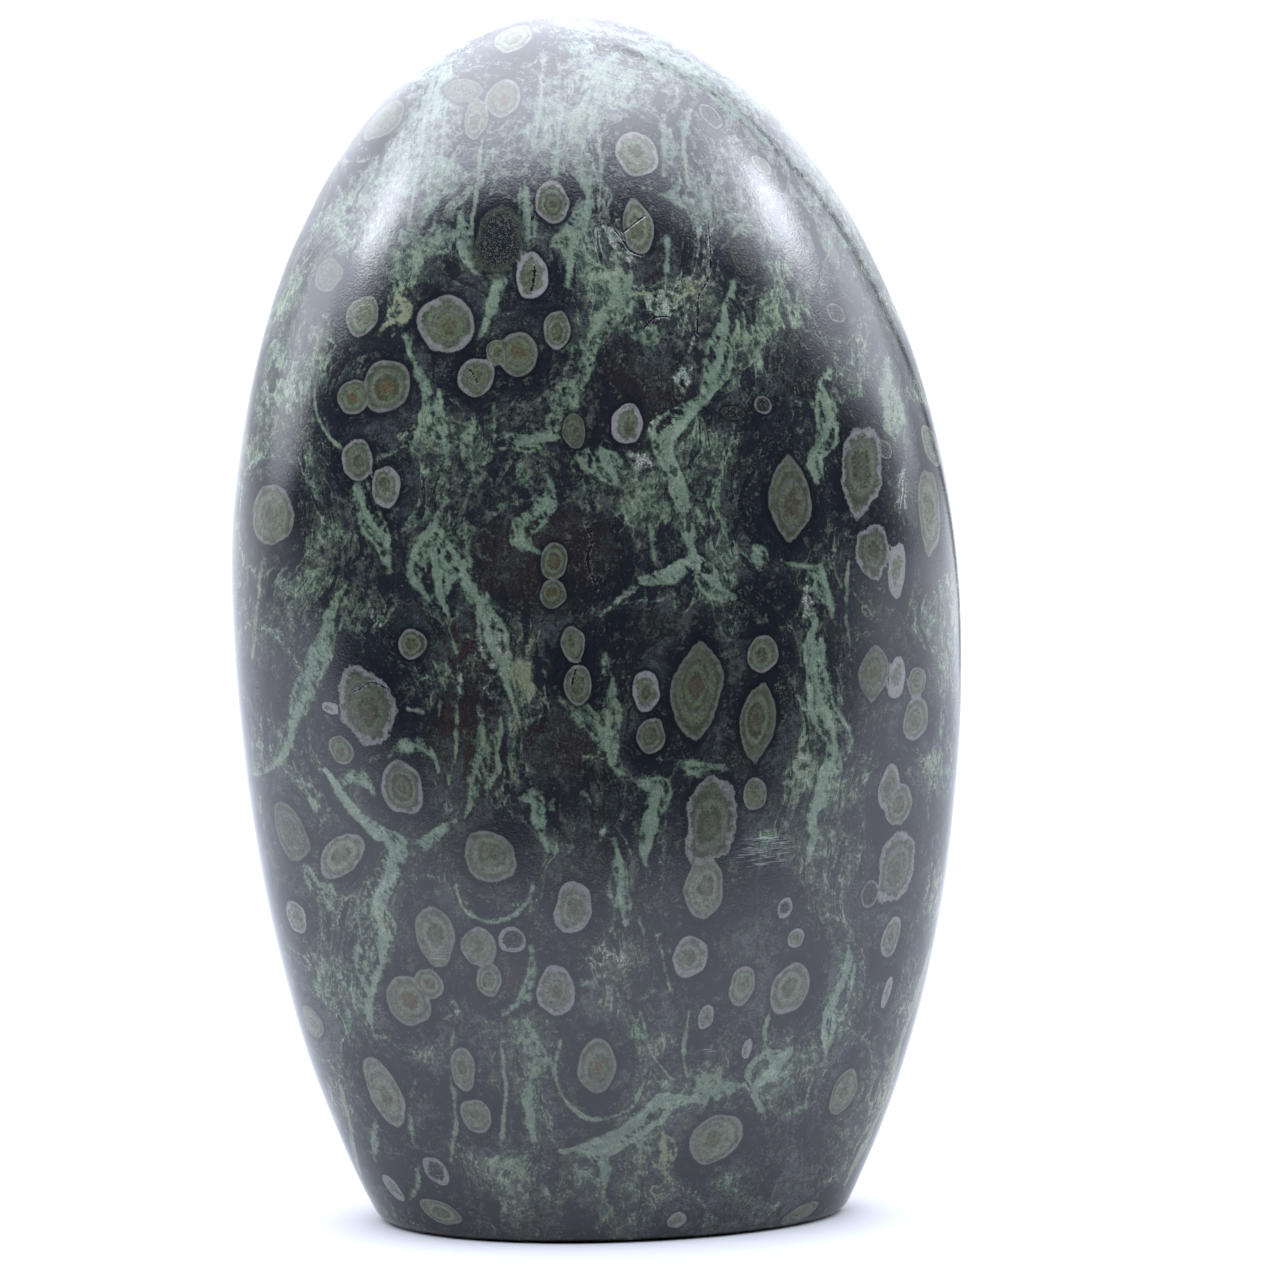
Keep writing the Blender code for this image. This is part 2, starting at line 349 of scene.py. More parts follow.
# Lacy fields of the front: x, y, half width and half height in pixels, share covered, tone.
LACE_FIELDS = (
    (560, 135, 44, 42, 0.30, "lace"), (425, 195, 28, 40, 0.55, "lace"), (600, 278, 26, 12, 0.5, "lace"),
    (620, 300, 17, 22, 0.55, "sage"), (580, 370, 20, 74, 0.45, "lace"), (407, 265, 16, 28, 0.6, "lace"),
    (400, 300, 18, 18, 0.6, "yellow"), (772, 310, 34, 70, 0.35, "dim"), (745, 225, 14, 12, 0.8, "sage"),
    (682, 440, 20, 42, 0.75, "sage"), (888, 398, 9, 45, 0.6, "lace"), (860, 330, 12, 16, 0.6, "lace"),
    (330, 545, 32, 50, 0.45, "lace"), (280, 595, 22, 38, 0.45, "lace"),
    (522, 680, 15, 26, 1.5, "yellow"),
    (722, 590, 16, 16, 0.85, "bright"), (818, 805, 34, 66, 0.5, "lace"),
    (820, 850, 13, 11, 0.8, "sage"),
    (350, 610, 12, 22, 0.5, "lace"), (340, 965, 42, 98, 0.38, "lace"), (650, 785, 12, 7, 0.9, "sage"),
    (533, 1025, 28, 16, 0.7, "lace"), (530, 1080, 14, 62, 0.5, "lace"), (590, 985, 10, 6, 0.8, "lace"),
    (770, 1080, 22, 30, 0.7, "sage"), (510, 1185, 24, 36, 0.65, "lace"),
    (555, 1190, 12, 20, 0.7, "lace"),
    (607, 1210, 10, 15, 0.7, "lace"), (875, 1098, 28, 68, 0.5, "lace"), (928, 762, 28, 13, 0.3, "lace"),
    (420, 130, 42, 70, 0.6, "lace"), (640, 70, 80, 40, 0.25, "lace"), (760, 150, 45, 35, 0.45, "lace"),
    (805, 235, 40, 60, 0.5, "lace"), (300, 320, 26, 70, 0.5, "lace"), (335, 240, 30, 50, 0.5, "lace"),
    (265, 420, 22, 60, 0.45, "lace"), (262, 620, 18, 50, 0.4, "lace"), (735, 470, 22, 55, 0.18, "dim"),
    (866, 430, 15, 7, 0.9, "grey"), (860, 515, 17, 6, 0.9, "grey"), (905, 500, 7, 28, 0.6, "grey"),
    (640, 520, 22, 40, 0.4, "dim"), (455, 470, 30, 60, 0.4, "lace"), (482, 662, 20, 42, 0.45, "grey"),
)

# Dark lens-shaped holes in the veins: x, y, half width and half height in pixels.
LENSES = (
    (400, 210, 7, 9), (447, 206, 4, 6), (504, 444, 8, 3), (732, 309, 5, 10), (754, 309, 9, 7),
    (828, 388, 3, 9), (374, 955, 4, 8), (375, 925, 3, 7), (415, 850, 9, 3), (767, 1089, 7, 5),
    (584, 1163, 6, 6), (674, 470, 3, 5), (689, 520, 3, 12), (481, 590, 3, 6), (707, 568, 4, 6),
)

# Patches of fine level scratches: x, y, half width and half height in pixels.
SCRATCHED = (
    (765, 850, 32, 20), (437, 957, 9, 6), (710, 1050, 6, 4), (800, 760, 8, 5),
)

# The pattern that isn't seen: its seed, how many markings it has, and their sizes in millimetres.
SEED = 11
HIDDEN_LOWEST = 1.5
HIDDEN_ORBS = 110
HIDDEN_ORB_TRIES = 6000
HIDDEN_ORB_RADIUS = (0.9, 2.9)
HIDDEN_ORB_SPACING = 4.2
HIDDEN_STYLES = ("plain", "plain", "rust", "ringed", "green", "grey", "wide", "spindle", "rough",
                 "drop", "lilac", "green", "rust", "faint")

# Hidden orbs: how far each stays from the orbs already there, in radii of those, the power that
# makes most of them small, how tall they are for their width, and their largest tilt in degrees.
ORB_CLEARANCE = 2.2
SMALLNESS = 1.8
TALLNESS = (1.05, 1.45)
SPINDLE_TALLNESS = 1.6
LARGEST_TILT = 20

# Hidden halos: the share of orbs that have one, its width in orb radii, and its brownness.
HALO_SHARE = 0.45
HALO_WIDTHS = (1.8, 2.6)
HALO_BROWNNESS = (0.0, 0.9)

# Hidden veins: how many, and their tones. Each starts at a height and a turn, in degrees, goes
# some steps, drifts as it goes, and keeps clear of halos. Lengths are in millimetres.
HIDDEN_VEINS = 100
HIDDEN_VEIN_TONES = ("sage", "bright", "lace", "dim", "sage", "yellow")
VEIN_START_MARGIN = 4.0
VEIN_END_MARGIN = 1.0
VEIN_TURNS = (-8.0, 188.0)
VEIN_STEPS = (5, 16)
VEIN_STEP = 2.4
VEIN_DRIFT = 0.5
DRIFT_KEPT = 0.75
DRIFT_CHANGE = 0.35
VEIN_SPACING = 0.5
VEIN_HALVES = (0.25, 0.85)
HIDDEN_VEIN_TIP = 0.6
SWELL_SPACING = 6
LEAST_POINTS = 3
VEIN_KEEPS_CLEAR = 1.4

# Hidden lacy fields: how many, their half widths and heights, and the share covered.
HIDDEN_LACE_FIELDS = 95
HIDDEN_LACE_TONES = ("lace", "lace", "dim", "sage", "yellow")
LACE_WIDTHS = (2.0, 5.0)
LACE_HEIGHTS = (3.0, 9.0)
LACE_COVERED = (0.35, 0.7)
LACE_MOST_HALO = 0.4

# A drawn line gets a point every few pixels. It strays by a width in pixels, and by a share
# of the vein's own width, with a new value every few points.
LINE_STEP = 4.0
STRAY = 0.6
STRAY_BY_WIDTH = 0.10
STRAY_SPACING = 4

# A vein at least this wide, in pixels, has this many thin strands beside it. How wide they are,
# and how far off they run, are shares of the vein's width.
STRAND_WIDTH = 6
STRANDS = 2
STRAND_LEAST_POINTS = 6
STRAND_WIDTHS = (0.25, 0.45)
STRAND_AWAY = (0.55, 1.0)
STRAND_GAP = 3.0
STRAND_BOW_POWER = 0.6
STRAND_UNEVENNESS = 0.4
STRAND_SPACING = 5

# How much a crack strays from its drawn line, as a vein of this width in pixels does.
CRACK_WANDER = 6.0

# A vein's solid body is this share of its drawn width. The rest is its feathered edges. It
# swells and thins, and is this share of its width at its tips, which taper over some pixels.
VEIN_BODY = 0.68
VEIN_SWELL = 0.45
VEIN_TIP = 0.45
SHORTEST_TAPER = 10.0

# Two veins that meet change their tone over this many millimetres.
TONE_BLEND = 0.3

# The threads of a vein run this much slower along it than across, and so do the streaks of the
# rock up and down. Each vein's threads start at a place of their own.
ALONG_VEIN = 0.28
ALONG_STREAK = 0.32
THREAD_OFFSET = 3.0

# Lumps of an orb's outline, for an even orb and what a rough one has more, and how far its
# rings may lie off its middle, all as shares of its radius. The rings have some of the lumps.
LUMPS_EVEN = 0.09
LUMPS_ROUGH = 0.16
LUMP_COUNTS = (2, 3, 4, 5, 7)
LUMP_STRENGTHS = (0.3, 1.0)
RING_SHIFT = 0.13
RING_LUMPS = 0.4

# A pointed orb is narrowed up to this share of its half height.
NEAR_TIP = 0.98

# The dark halo of an orb of this radius, in millimetres, is this wide in orb radii. It is wider
# in orb radii round a smaller orb, down to a share of that radius, and fades across its edge.
ORB_HALO_WIDTH = 0.9
ORB_HALO_RADIUS = 1.6
ORB_HALO_LEAST = 0.5
ORB_HALO_FADE = (-0.2, 0.9)

# The streaks part round an orb by this share of its radius, and less and less between two
# distances, told in that share of its radius.
FLOW_PUSH = 1.4
FLOW_FADE = (2.0, 3.5)

# The orbs of the lower part are made lighter, from one row of the photograph to another: a
# painted haze that stands in for the lit floor's reflection.
LOW_ORB_PAINTED_HAZE = 0.26
LOW_ORB_HAZE_ROWS = (780.0, 900.0)

# Where each kind of patch fades out and how far from its middle it is looked at, in its own
# radii, and how far a lens cuts a vein back, in millimetres.
HALO_FADE = (0.7, 1.15)
BROWN_FADE = (0.5, 1.2)
LACE_FADE = (0.55, 1.3)
SCRATCH_FADE = (0.6, 1.1)
LENS_FADE = (0.6, 1.2)
LENS_DEPTH = 1.6
PATCH_REACH = 2.0

# Fields are kept this far from a marking: in orb radii, and in millimetres.
FAR_RADII = 4.0
FAR_FROM_VEIN = 3.0

# The mesh's rings and columns are spaced with this many samples, and the rings by the length
# of the wall at this turn. Waves fade in over some millimetres above the foot edge.
FINE_SAMPLES = 4001
MEASURED_TURN = math.radians(-50.0)
CLEAR_OF_FOOT_EDGE = 1.2
WAVE_FADE = 4.0

# A pixel beside the stone moves towards this one by these shares until it is on the stone.
STONE_PIXEL = (598.0, 640.0)
INWARD_SHARES = (0.02, 0.01)

# A line of sight never meets the surface more slantingly than this, near the outline.
FLATTEST_SLOPE = -0.22

# Stands in for a length of zero where something is divided by it.
TINY = 1e-9


def clamp(value, low=0.0, high=1.0):
    return np.minimum(high, np.maximum(low, value))


def smooth(value, low, high):
    share = clamp((value - low) / (high - low))
    return share * share * (3.0 - 2.0 * share)


def unit(vectors):
    """Vectors along the same directions, with a length of one."""
    return vectors / np.maximum(TINY, np.linalg.norm(vectors, axis=-1, keepdims=True))


def wall_points(height, turn):
    """Points of the stone's wall, in millimetres, from heights and turns round the spine."""
    rise = height - WIDEST_HEIGHT
    above = height > WIDEST_HEIGHT
    share_of_egg = np.where(above, rise / (HEIGHT - WIDEST_HEIGHT), rise / UNCUT_DROP)
    fullness = np.where(above, FULLNESS_ABOVE, FULLNESS_BELOW)
    ring = np.sqrt(clamp(1.0 - np.abs(share_of_egg) ** fullness))
    across = ring * np.cos(turn)
    back = ring * np.sin(turn)
    share = clamp(height / HEIGHT)
    spine = FOOT_SHIFT + (TOP_SHIFT - FOOT_SHIFT) * share + SPINE_BOW * np.sin(np.pi * share)
    x = spine + HALF_WIDTH * across
    y = HALF_DEPTH * back * (1.0 - WEDGE * across) - FRONT_BULGE * back * back

    # The foot edge is eased: close above the flat spot the wall turns in.
    drop = clamp((FOOT_EDGE_HEIGHT - height) / FOOT_EDGE_HEIGHT)
    inset = FOOT_EDGE_INSET * (1.0 - np.sqrt(1.0 - drop * drop))
    keep = 1.0 - inset / np.maximum(np.hypot(x - spine, y), TINY)
    return np.stack(np.broadcast_arrays(spine + (x - spine) * keep, y * keep, height), axis=-1)


def step_lengths(path):
    return np.linalg.norm(np.diff(path, axis=0), axis=1)


def even_turns():
    """Turns of the mesh's columns, evenly spaced along the widest ring, closer on the front."""
    fine = np.linspace(-math.pi, math.pi, FINE_SAMPLES)
    steps = step_lengths(wall_points(np.full(fine.shape, WIDEST_HEIGHT), fine))
    front = (fine[1:] + fine[:-1]) / 2.0 < 0.0
    steps[front] *= FRONT_COLUMNS / steps[front].sum()
    steps[~front] *= BACK_COLUMNS / steps[~front].sum()
    along = np.concatenate(([0.0], np.cumsum(steps)))
    return np.interp(np.arange(FRONT_COLUMNS + BACK_COLUMNS), along, fine)


def even_heights():
    """Heights of the mesh's rings, evenly spaced down the wall, then round the foot edge."""
    lowest_angle = math.acos(-WIDEST_HEIGHT / UNCUT_DROP)
    angle = np.linspace(0.0, lowest_angle, FINE_SAMPLES)
    reach = np.where(np.cos(angle) > 0.0, HEIGHT - WIDEST_HEIGHT, UNCUT_DROP)
    height = WIDEST_HEIGHT + reach * np.cos(angle)
    steps = step_lengths(wall_points(height, np.full(angle.shape, MEASURED_TURN)))
    along = np.concatenate(([0.0], np.cumsum(steps)))
    rings = np.interp(np.linspace(0.0, along[-1], WALL_RINGS + 1), along, height)
    rings = rings[rings > FOOT_EDGE_HEIGHT * CLEAR_OF_FOOT_EDGE]
    edge = FOOT_EDGE_HEIGHT * np.array(EDGE_RING_SHARES)
    return np.concatenate((rings[1:], [FOOT_EDGE_HEIGHT], edge))


def add_waves(points):
    """Hand polishing leaves the surface very slightly uneven."""
    outward = points * (1.0 / HALF_WIDTH ** 2, 1.0 / HALF_DEPTH ** 2, 0.0)
    outward[:, 2] = (points[:, 2] - WIDEST_HEIGHT) / (HEIGHT - WIDEST_HEIGHT) ** 2
    rise = np.zeros(len(points))
    for x, y, z, phase in WAVES:
        rise += WAVE_HEIGHT * np.sin(points @ (x, y, z) * 2.0 * np.pi / WAVE_LENGTH + phase)
    rise *= smooth(points[:, 2], FOOT_EDGE_HEIGHT, FOOT_EDGE_HEIGHT + WAVE_FADE)
    points += unit(outward) * rise[:, None]


def build_stone():
    """The stone's fine mesh: a crown point, rings down the wall, and rings over the flat spot."""
    turns = even_turns()
    heights = even_heights()
    wall = wall_points(heights[:, None], turns[None, :])
    foot = wall[-1]
    foot_middle = foot.mean(axis=0)
    flat = [foot_middle + (foot - foot_middle) * share for share in FLAT_RING_SHARES]
    rings = np.concatenate((wall, np.array(flat)), axis=0)
    crown = wall_points(np.array(HEIGHT), np.array(0.0))
    points = np.concatenate(([crown], rings.reshape(-1, 3), [foot_middle]))
    middle = (points.min(axis=0) + points.max(axis=0)) / 2.0
    points[:, :2] -= middle[:2]
    add_waves(points)
    points[:, 2] += LOW.z / MM

    columns = len(turns)
    count = len(rings)
    index = 1 + np.arange(count * columns).reshape(count, columns)
    beside = np.roll(index, -1, axis=1)
    quads = np.stack((index[:-1], index[1:], beside[1:], beside[:-1]), axis=-1).reshape(-1, 4)
    last = len(points) - 1
    top = [(0, a, b) for a, b in zip(index[0], beside[0])]
    bottom = [(last, b, a) for a, b in zip(index[-1], beside[-1])]
    mesh = bpy.data.meshes.new("polished_stone")
    mesh.from_pydata(points * MM, [], quads.tolist() + top + bottom)
    mesh.validate()
    mesh.shade_smooth()
    stone = bpy.data.objects.new("polished_stone", mesh)
    bpy.context.scene.collection.objects.link(stone)
    return stone, points, middle


def camera_axes():
    """The camera's place in millimetres and its right, up and forward directions."""
    sin_a, cos_a = math.sin(CAMERA_AZIMUTH), math.cos(CAMERA_AZIMUTH)
    sin_e, cos_e = math.sin(CAMERA_ELEVATION), math.cos(CAMERA_ELEVATION)
    forward = np.array((sin_a * cos_e, cos_a * cos_e, -sin_e))
    right = np.array((cos_a, -sin_a, 0.0))
    up = np.cross(right, forward)
    return np.array(CAMERA_AIM) - CAMERA_DISTANCE * forward, right, up, forward


def add_camera():
    place, right, up, forward = camera_axes()
    data = bpy.data.cameras.new("camera")
    data.sensor_width = SENSOR_WIDTH
    data.lens = FOCAL_PIXELS / PHOTO_SIZE * SENSOR_WIDTH
    data.clip_end = FARTHEST_SEEN
    camera = bpy.data.objects.new("camera", data)
    axes = Matrix([(right[i], up[i], -forward[i]) for i in range(3)])
    camera.matrix_world = Matrix.Translation(Vector(place * MM)) @ axes.to_4x4()
    bpy.context.scene.collection.objects.link(camera)
    bpy.context.scene.camera = camera


class Surface:
    """The stone's surface, met by lines of sight through pixels of the photograph."""

    def __init__(self, stone):
        bpy.context.view_layer.update()
        self.tree = BVHTree.FromObject(stone, bpy.context.evaluated_depsgraph_get())
        self.place, self.right, self.up, self.forward = camera_axes()

    def ray(self, x, y):
        half = PHOTO_SIZE / 2.0
        return unit(self.forward * FOCAL_PIXELS + self.right * (x - half) + self.up * (half - y))

    def meet(self, x, y):
        """Point and normal under a pixel, or None beside the stone."""
        hit, normal = self.tree.ray_cast(Vector(self.place * MM), Vector(self.ray(x, y)))[:2]
        if hit is None:
            return None
        return np.array(hit) / MM, np.array(normal)

    def meet_inside(self, x, y):
        """The same, moved towards the stone's middle until the pixel is on the stone."""
        found = self.meet(x, y)
        while found is None:
            x += (STONE_PIXEL[0] - x) * INWARD_SHARES[0]
            y += (STONE_PIXEL[1] - y) * INWARD_SHARES[1]
            found = self.meet(x, y)
        return found

    def span(self, x, y, along_x, along_y, point, normal):
        """Half the way between two pixels, one to each side, on the plane that touches the stone."""
        ends = []
        for sign in (1.0, -1.0):
            way = self.ray(x + sign * along_x, y + sign * along_y)
            slope = min(FLATTEST_SLOPE, float(way @ normal))
            ends.append(self.place + way * float((point - self.place) @ normal) / slope)
        return (ends[0] - ends[1]) / 2.0

    def unseen(self, line):
        """Which points of a line lie where the camera doesn't see the stone."""
        facing = []
        for point in line:
            normal = self.tree.find_nearest(Vector(point * MM))[1]
            facing.append(float(np.array(normal) @ (self.place - point)))
        return np.array(facing) <= 0.0


def front_orb(surface, x, y, half_x, half_y, tilt=0):
    """An orb's centre and its three half axes, from an ellipse drawn over the photograph."""
    centre, normal = surface.meet_inside(x, y)
    sin_t, cos_t = math.sin(math.radians(tilt)), math.cos(math.radians(tilt))
    axes = []
    for along_x, along_y in ((half_x * cos_t, half_x * sin_t), (half_y * sin_t, -half_y * cos_t)):
        axis = surface.span(x, y, along_x, along_y, centre, normal)
        axes.append(axis - normal * float(axis @ normal))
    depth = (np.linalg.norm(axes[0]) + np.linalg.norm(axes[1])) / 2.0
    return centre, np.array((axes[0], axes[1], normal * depth))


def hidden_orb(centre, normal, half_x, half_y, tilt=0):
    """An orb where the photograph doesn't reach, upright on the surface apart from its tilt."""
    aside = unit(np.cross((0.0, 0.0, 1.0), normal))
    upward = np.cross(normal, aside)
    sin_t, cos_t = math.sin(math.radians(tilt)), math.cos(math.radians(tilt))
    first = (aside * cos_t - upward * sin_t) * half_x
    second = (aside * sin_t + upward * cos_t) * half_y
    return centre, np.array((first, second, normal * (half_x + half_y) / 2.0))


def curve_through(points, step):
    """A smooth line through points, as closely spaced points of the same kind."""
    points = [np.array(point, float) for point in points]
    padded = [2.0 * points[0] - points[1]] + points + [2.0 * points[-1] - points[-2]]
    line = []
    for a, b, c, d in zip(padded, padded[1:], padded[2:], padded[3:]):
        pieces = max(2, int(np.linalg.norm(c - b) / step))
        for t in np.arange(pieces) / pieces:
            line.append(0.5 * (2.0 * b + (c - a) * t + (2.0 * a - 5.0 * b + 4.0 * c - d) * t * t
                               + (3.0 * b - a - 3.0 * c + d) * t * t * t))
    line.append(points[-1])
    return np.array(line)


def uneven(count, spacing, chance):
    """Smooth noise between -1 and 1 along a line, with a new value every so many points."""
    knots = np.arange(0, count + 2 * spacing, spacing)
    return np.interp(np.arange(count), knots, chance.uniform(-1.0, 1.0, len(knots)))


def moved_aside(line, away):
    """A line over the photograph whose points are moved to its side."""
    ahead = unit(np.gradient(line, axis=0))
    side = np.stack((-ahead[:, 1], ahead[:, 0]), axis=1)
    return line + side * away[:, None]


def wandering(line, width, chance):
    """A drawn line that strays a little to its sides, as a real vein does."""
    stray = uneven(len(line), STRAY_SPACING, chance)
    return moved_aside(line, stray * (STRAY + STRAY_BY_WIDTH * width))


def strand_beside(line, width, chance):
    """A strand that leaves a drawn line, runs along it and joins it again."""
    start = int(chance.integers(0, max(1, len(line) // 3)))
    end = int(chance.integers(2 * len(line) // 3, len(line))) + 1
    part = line[start:end]
    away = width * chance.uniform(*STRAND_AWAY) + STRAND_GAP
    away *= 1.0 if chance.random() < 0.5 else -1.0
    bow = np.sin(np.linspace(0.0, math.pi, len(part))) ** STRAND_BOW_POWER
    swing = 1.0 + STRAND_UNEVENNESS * uneven(len(part), STRAND_SPACING, chance)
    return moved_aside(part, away * bow * swing)


def front_vein(surface, width, line, chance):
    """A vein's line on the stone, with the half width of the vein at each of its points."""
    places = []
    halves = []
    last = len(line) - 1
    swell = 1.0 + VEIN_SWELL * uneven(len(line), STRAY_SPACING, chance)
    for k, (x, y) in enumerate(line):
        ahead = unit(line[min(k + 1, last)] - line[max(k - 1, 0)])
        side = np.array((-ahead[1], ahead[0])) * width * VEIN_BODY / 2.0
        point, normal = surface.meet_inside(x, y)
        half = np.linalg.norm(surface.span(x, y, side[0], side[1], point, normal))
        from_tip = min(k, last - k) * LINE_STEP / max(SHORTEST_TAPER, 2.0 * width)
        taper = VEIN_TIP + (1.0 - VEIN_TIP) * min(1.0, from_tip)
        places.append(point)
        halves.append(half * taper * swell[k])
    return np.array(places), np.array(halves)


def distance_to_line(points, line, halves):
    """How far inside a vein each point is, in millimetres, less than nothing outside it.

    Also the way from the vein's middle line to the point, the vein's half width there, and how
    far along the vein that is."""
    best = np.full(len(points), -np.inf)
    ways = np.zeros((len(points), 3))
    half = np.zeros(len(points))
    run = np.zeros(len(points))
    passed = 0.0
    for start, end, half_a, half_b in zip(line, line[1:], halves, halves[1:]):
        along = end - start
        length = np.linalg.norm(along)
        share = clamp((points - start) @ along / max(TINY, along @ along))
        way = points - start - share[:, None] * along
        width = half_a + (half_b - half_a) * share
        inside = width - np.linalg.norm(way, axis=1)
        more = inside > best
        best[more] = inside[more]
        ways[more] = way[more]
        half[more] = width[more]
        run[more] = passed + length * share[more]
        passed += length
    return best, ways, half, run


def in_orb(points, centre, axes):
    """Local coordinates of points in an orb, in which its outline is the unit sphere."""
    dual = axes / (np.linalg.norm(axes, axis=1) ** 2)[:, None]
    return (points - centre) @ dual.T


def lumps(turn, size, chance):
    """How far an orb's outline bulges or falls short, as a share of its radius, all round."""
    total = np.zeros(turn.shape)
    for waves in LUMP_COUNTS:
        wave = np.cos(waves * turn + chance.uniform(0.0, 2.0 * math.pi))
        total += wave * chance.uniform(*LUMP_STRENGTHS) / waves
    return size * total


class Pattern:
    """The fields that the vertices hold."""

    def __init__(self, points, normals):
        count = len(points)
        self.points = points
        self.normals = normals
        self.orb = np.full(count, FAR_RADII)
        self.orb_next = np.full(count, FAR_RADII)
        self.orb_ring = np.full(count, FAR_RADII)
        self.orb_look = np.zeros((count, 10))
        self.vein = np.full(count, -FAR_FROM_VEIN)
        self.vein_way = np.full((count, 3), FAR_FROM_VEIN)
        self.vein_half = np.zeros(count)
        self.vein_flow = np.zeros((count, 3))
        self.vein_look = np.zeros((count, 4))
        self.vein_look[:, 0] = 1.0
        self.halo = np.zeros(count)
        self.brown = np.zeros(count)
        self.crack_way = np.full((count, 3), FAR_FROM_VEIN)
        self.lace = np.zeros(count)
        self.scratched = np.zeros(count)
        self.flow = points.copy()

    def near(self, centre, reach):
        return np.flatnonzero(np.abs(self.points - centre).max(axis=1) < reach)

    def near_patch(self, centre, axes):
        """The points near a patch, and how far out they are in it, in its own radii."""
        near = self.near(centre, np.linalg.norm(axes, axis=1).max() * PATCH_REACH)
        return near, np.linalg.norm(in_orb(self.points[near], centre, axes), axis=1)

    def near_line(self, line, halves):
        """The points near a line, with what distance_to_line tells of them."""
        low, high = line.min(axis=0), line.max(axis=0)
        reach = (high - low).max() / 2.0 + FAR_FROM_VEIN + halves.max()
        near = self.near((low + high) / 2.0, reach)
        return near, *distance_to_line(self.points[near], line, halves)

    def raise_field(self, field, near, values):
        field[near] = np.maximum(field[near], values)

    def add_orb(self, centre, axes, style, chance, painted_low_haze=0.0):
        *shown, pointed, pale = ORB_STYLES[style]
        roughness = shown[6]
        sizes = np.linalg.norm(axes, axis=1)
        near = self.near(centre, sizes.max() * FAR_RADII)
        local = in_orb(self.points[near], centre, axes)
        height = clamp(np.abs(local[:, 1]), 0.0, NEAR_TIP)
        local[:, 0] /= 1.0 - pointed * (1.0 - np.sqrt(1.0 - height ** 2))
        bulge = lumps(np.arctan2(local[:, 1], local[:, 0]), LUMPS_EVEN + LUMPS_ROUGH * roughness, chance)
        radius = np.linalg.norm(local, axis=1) / (1.0 + bulge)
        shift = chance.uniform(-1.0, 1.0, 3) * (RING_SHIFT, RING_SHIFT, 0.0)
        ring = np.linalg.norm(local - shift, axis=1) / (1.0 + RING_LUMPS * bulge)
        closer = radius < self.orb[near]
        second = np.minimum(self.orb_next[near], radius)
        self.orb_next[near] = np.where(closer, self.orb[near], second)
        self.orb[near[closer]] = radius[closer]
        self.orb_ring[near[closer]] = ring[closer]
        # The last field is the orb's own paleness, plus any painted haze.
        self.orb_look[near[closer]] = (*shown, chance.random(), pale + painted_low_haze)
        width = sizes[:2].mean()
        halo_edge = 1.0 + ORB_HALO_WIDTH / max(ORB_HALO_LEAST, width / ORB_HALO_RADIUS)
        beyond = radius - halo_edge
        self.raise_field(self.halo, near, 1.0 - smooth(beyond, *ORB_HALO_FADE))
        self.bend_flow(centre, width * FLOW_PUSH)

    def bend_flow(self, centre, size):
        """The streaks of the rock run up and down, and part to go round an orb."""
        fade_start, fade_end = FLOW_FADE
        near = self.near(centre, size * fade_end)
        gap = self.points[near] - centre
        distance = np.linalg.norm(gap, axis=1)
        push = np.minimum(1.0, (size / np.maximum(distance, TINY)) ** 2)
        push *= 1.0 - smooth(distance, size * fade_start, size * fade_end)
        gap[:, 2] = 0.0
        self.flow[near] -= gap * push[:, None]

    def add_halo(self, centre, axes, brown):
        near, radius = self.near_patch(centre, axes)
        self.raise_field(self.halo, near, 1.0 - smooth(radius, *HALO_FADE))
        self.raise_field(self.brown, near, brown * (1.0 - smooth(radius, *BROWN_FADE)))

    def add_vein(self, line, halves, tone, keep_clear=0.0):
        near, inside, ways, half, run = self.near_line(line, halves)
        inside -= keep_clear * self.halo[near]
        half -= keep_clear * self.halo[near]
        blend = smooth(inside - self.vein[near], -TONE_BLEND, TONE_BLEND)[:, None]
        self.vein_look[near] += (VEIN_TONES[tone] - self.vein_look[near]) * blend
        more = inside > self.vein[near]
        at = near[more]
        self.vein[at] = inside[more]
        self.vein_way[at] = ways[more]
        self.vein_half[at] = half[more]
        side = np.cross(self.normals[at], unit(line[-1] - line[0]))
        self.vein_flow[at, 0] = (ways[more] * side).sum(axis=1)
        self.vein_flow[at, 1] = run[more] * ALONG_VEIN
        self.vein_flow[at, 2] = line[0, 2] * THREAD_OFFSET

    def add_crack(self, line):
        near, inside, ways = self.near_line(line, np.zeros(len(line)))[:3]
        closer = -inside < np.linalg.norm(self.crack_way[near], axis=1)
        self.crack_way[near[closer]] = ways[closer]

    def add_lace(self, centre, axes, covered, tone):
        near, radius = self.near_patch(centre, axes)
        amount = covered * (1.0 - smooth(radius, *LACE_FADE))
        more = (amount > self.lace[near]) & (self.vein[near] < 0.0)
        self.raise_field(self.lace, near, amount)
        self.vein_look[near[more]] = VEIN_TONES[tone]

    def scratch(self, centre, axes):
        near, radius = self.near_patch(centre, axes)
        self.raise_field(self.scratched, near, 1.0 - smooth(radius, *SCRATCH_FADE))

    def cut_lens(self, centre, axes):
        near, radius = self.near_patch(centre, axes)
        cut = LENS_DEPTH * (1.0 - smooth(radius, *LENS_FADE))
        self.vein[near] -= cut
        self.vein_half[near] -= cut


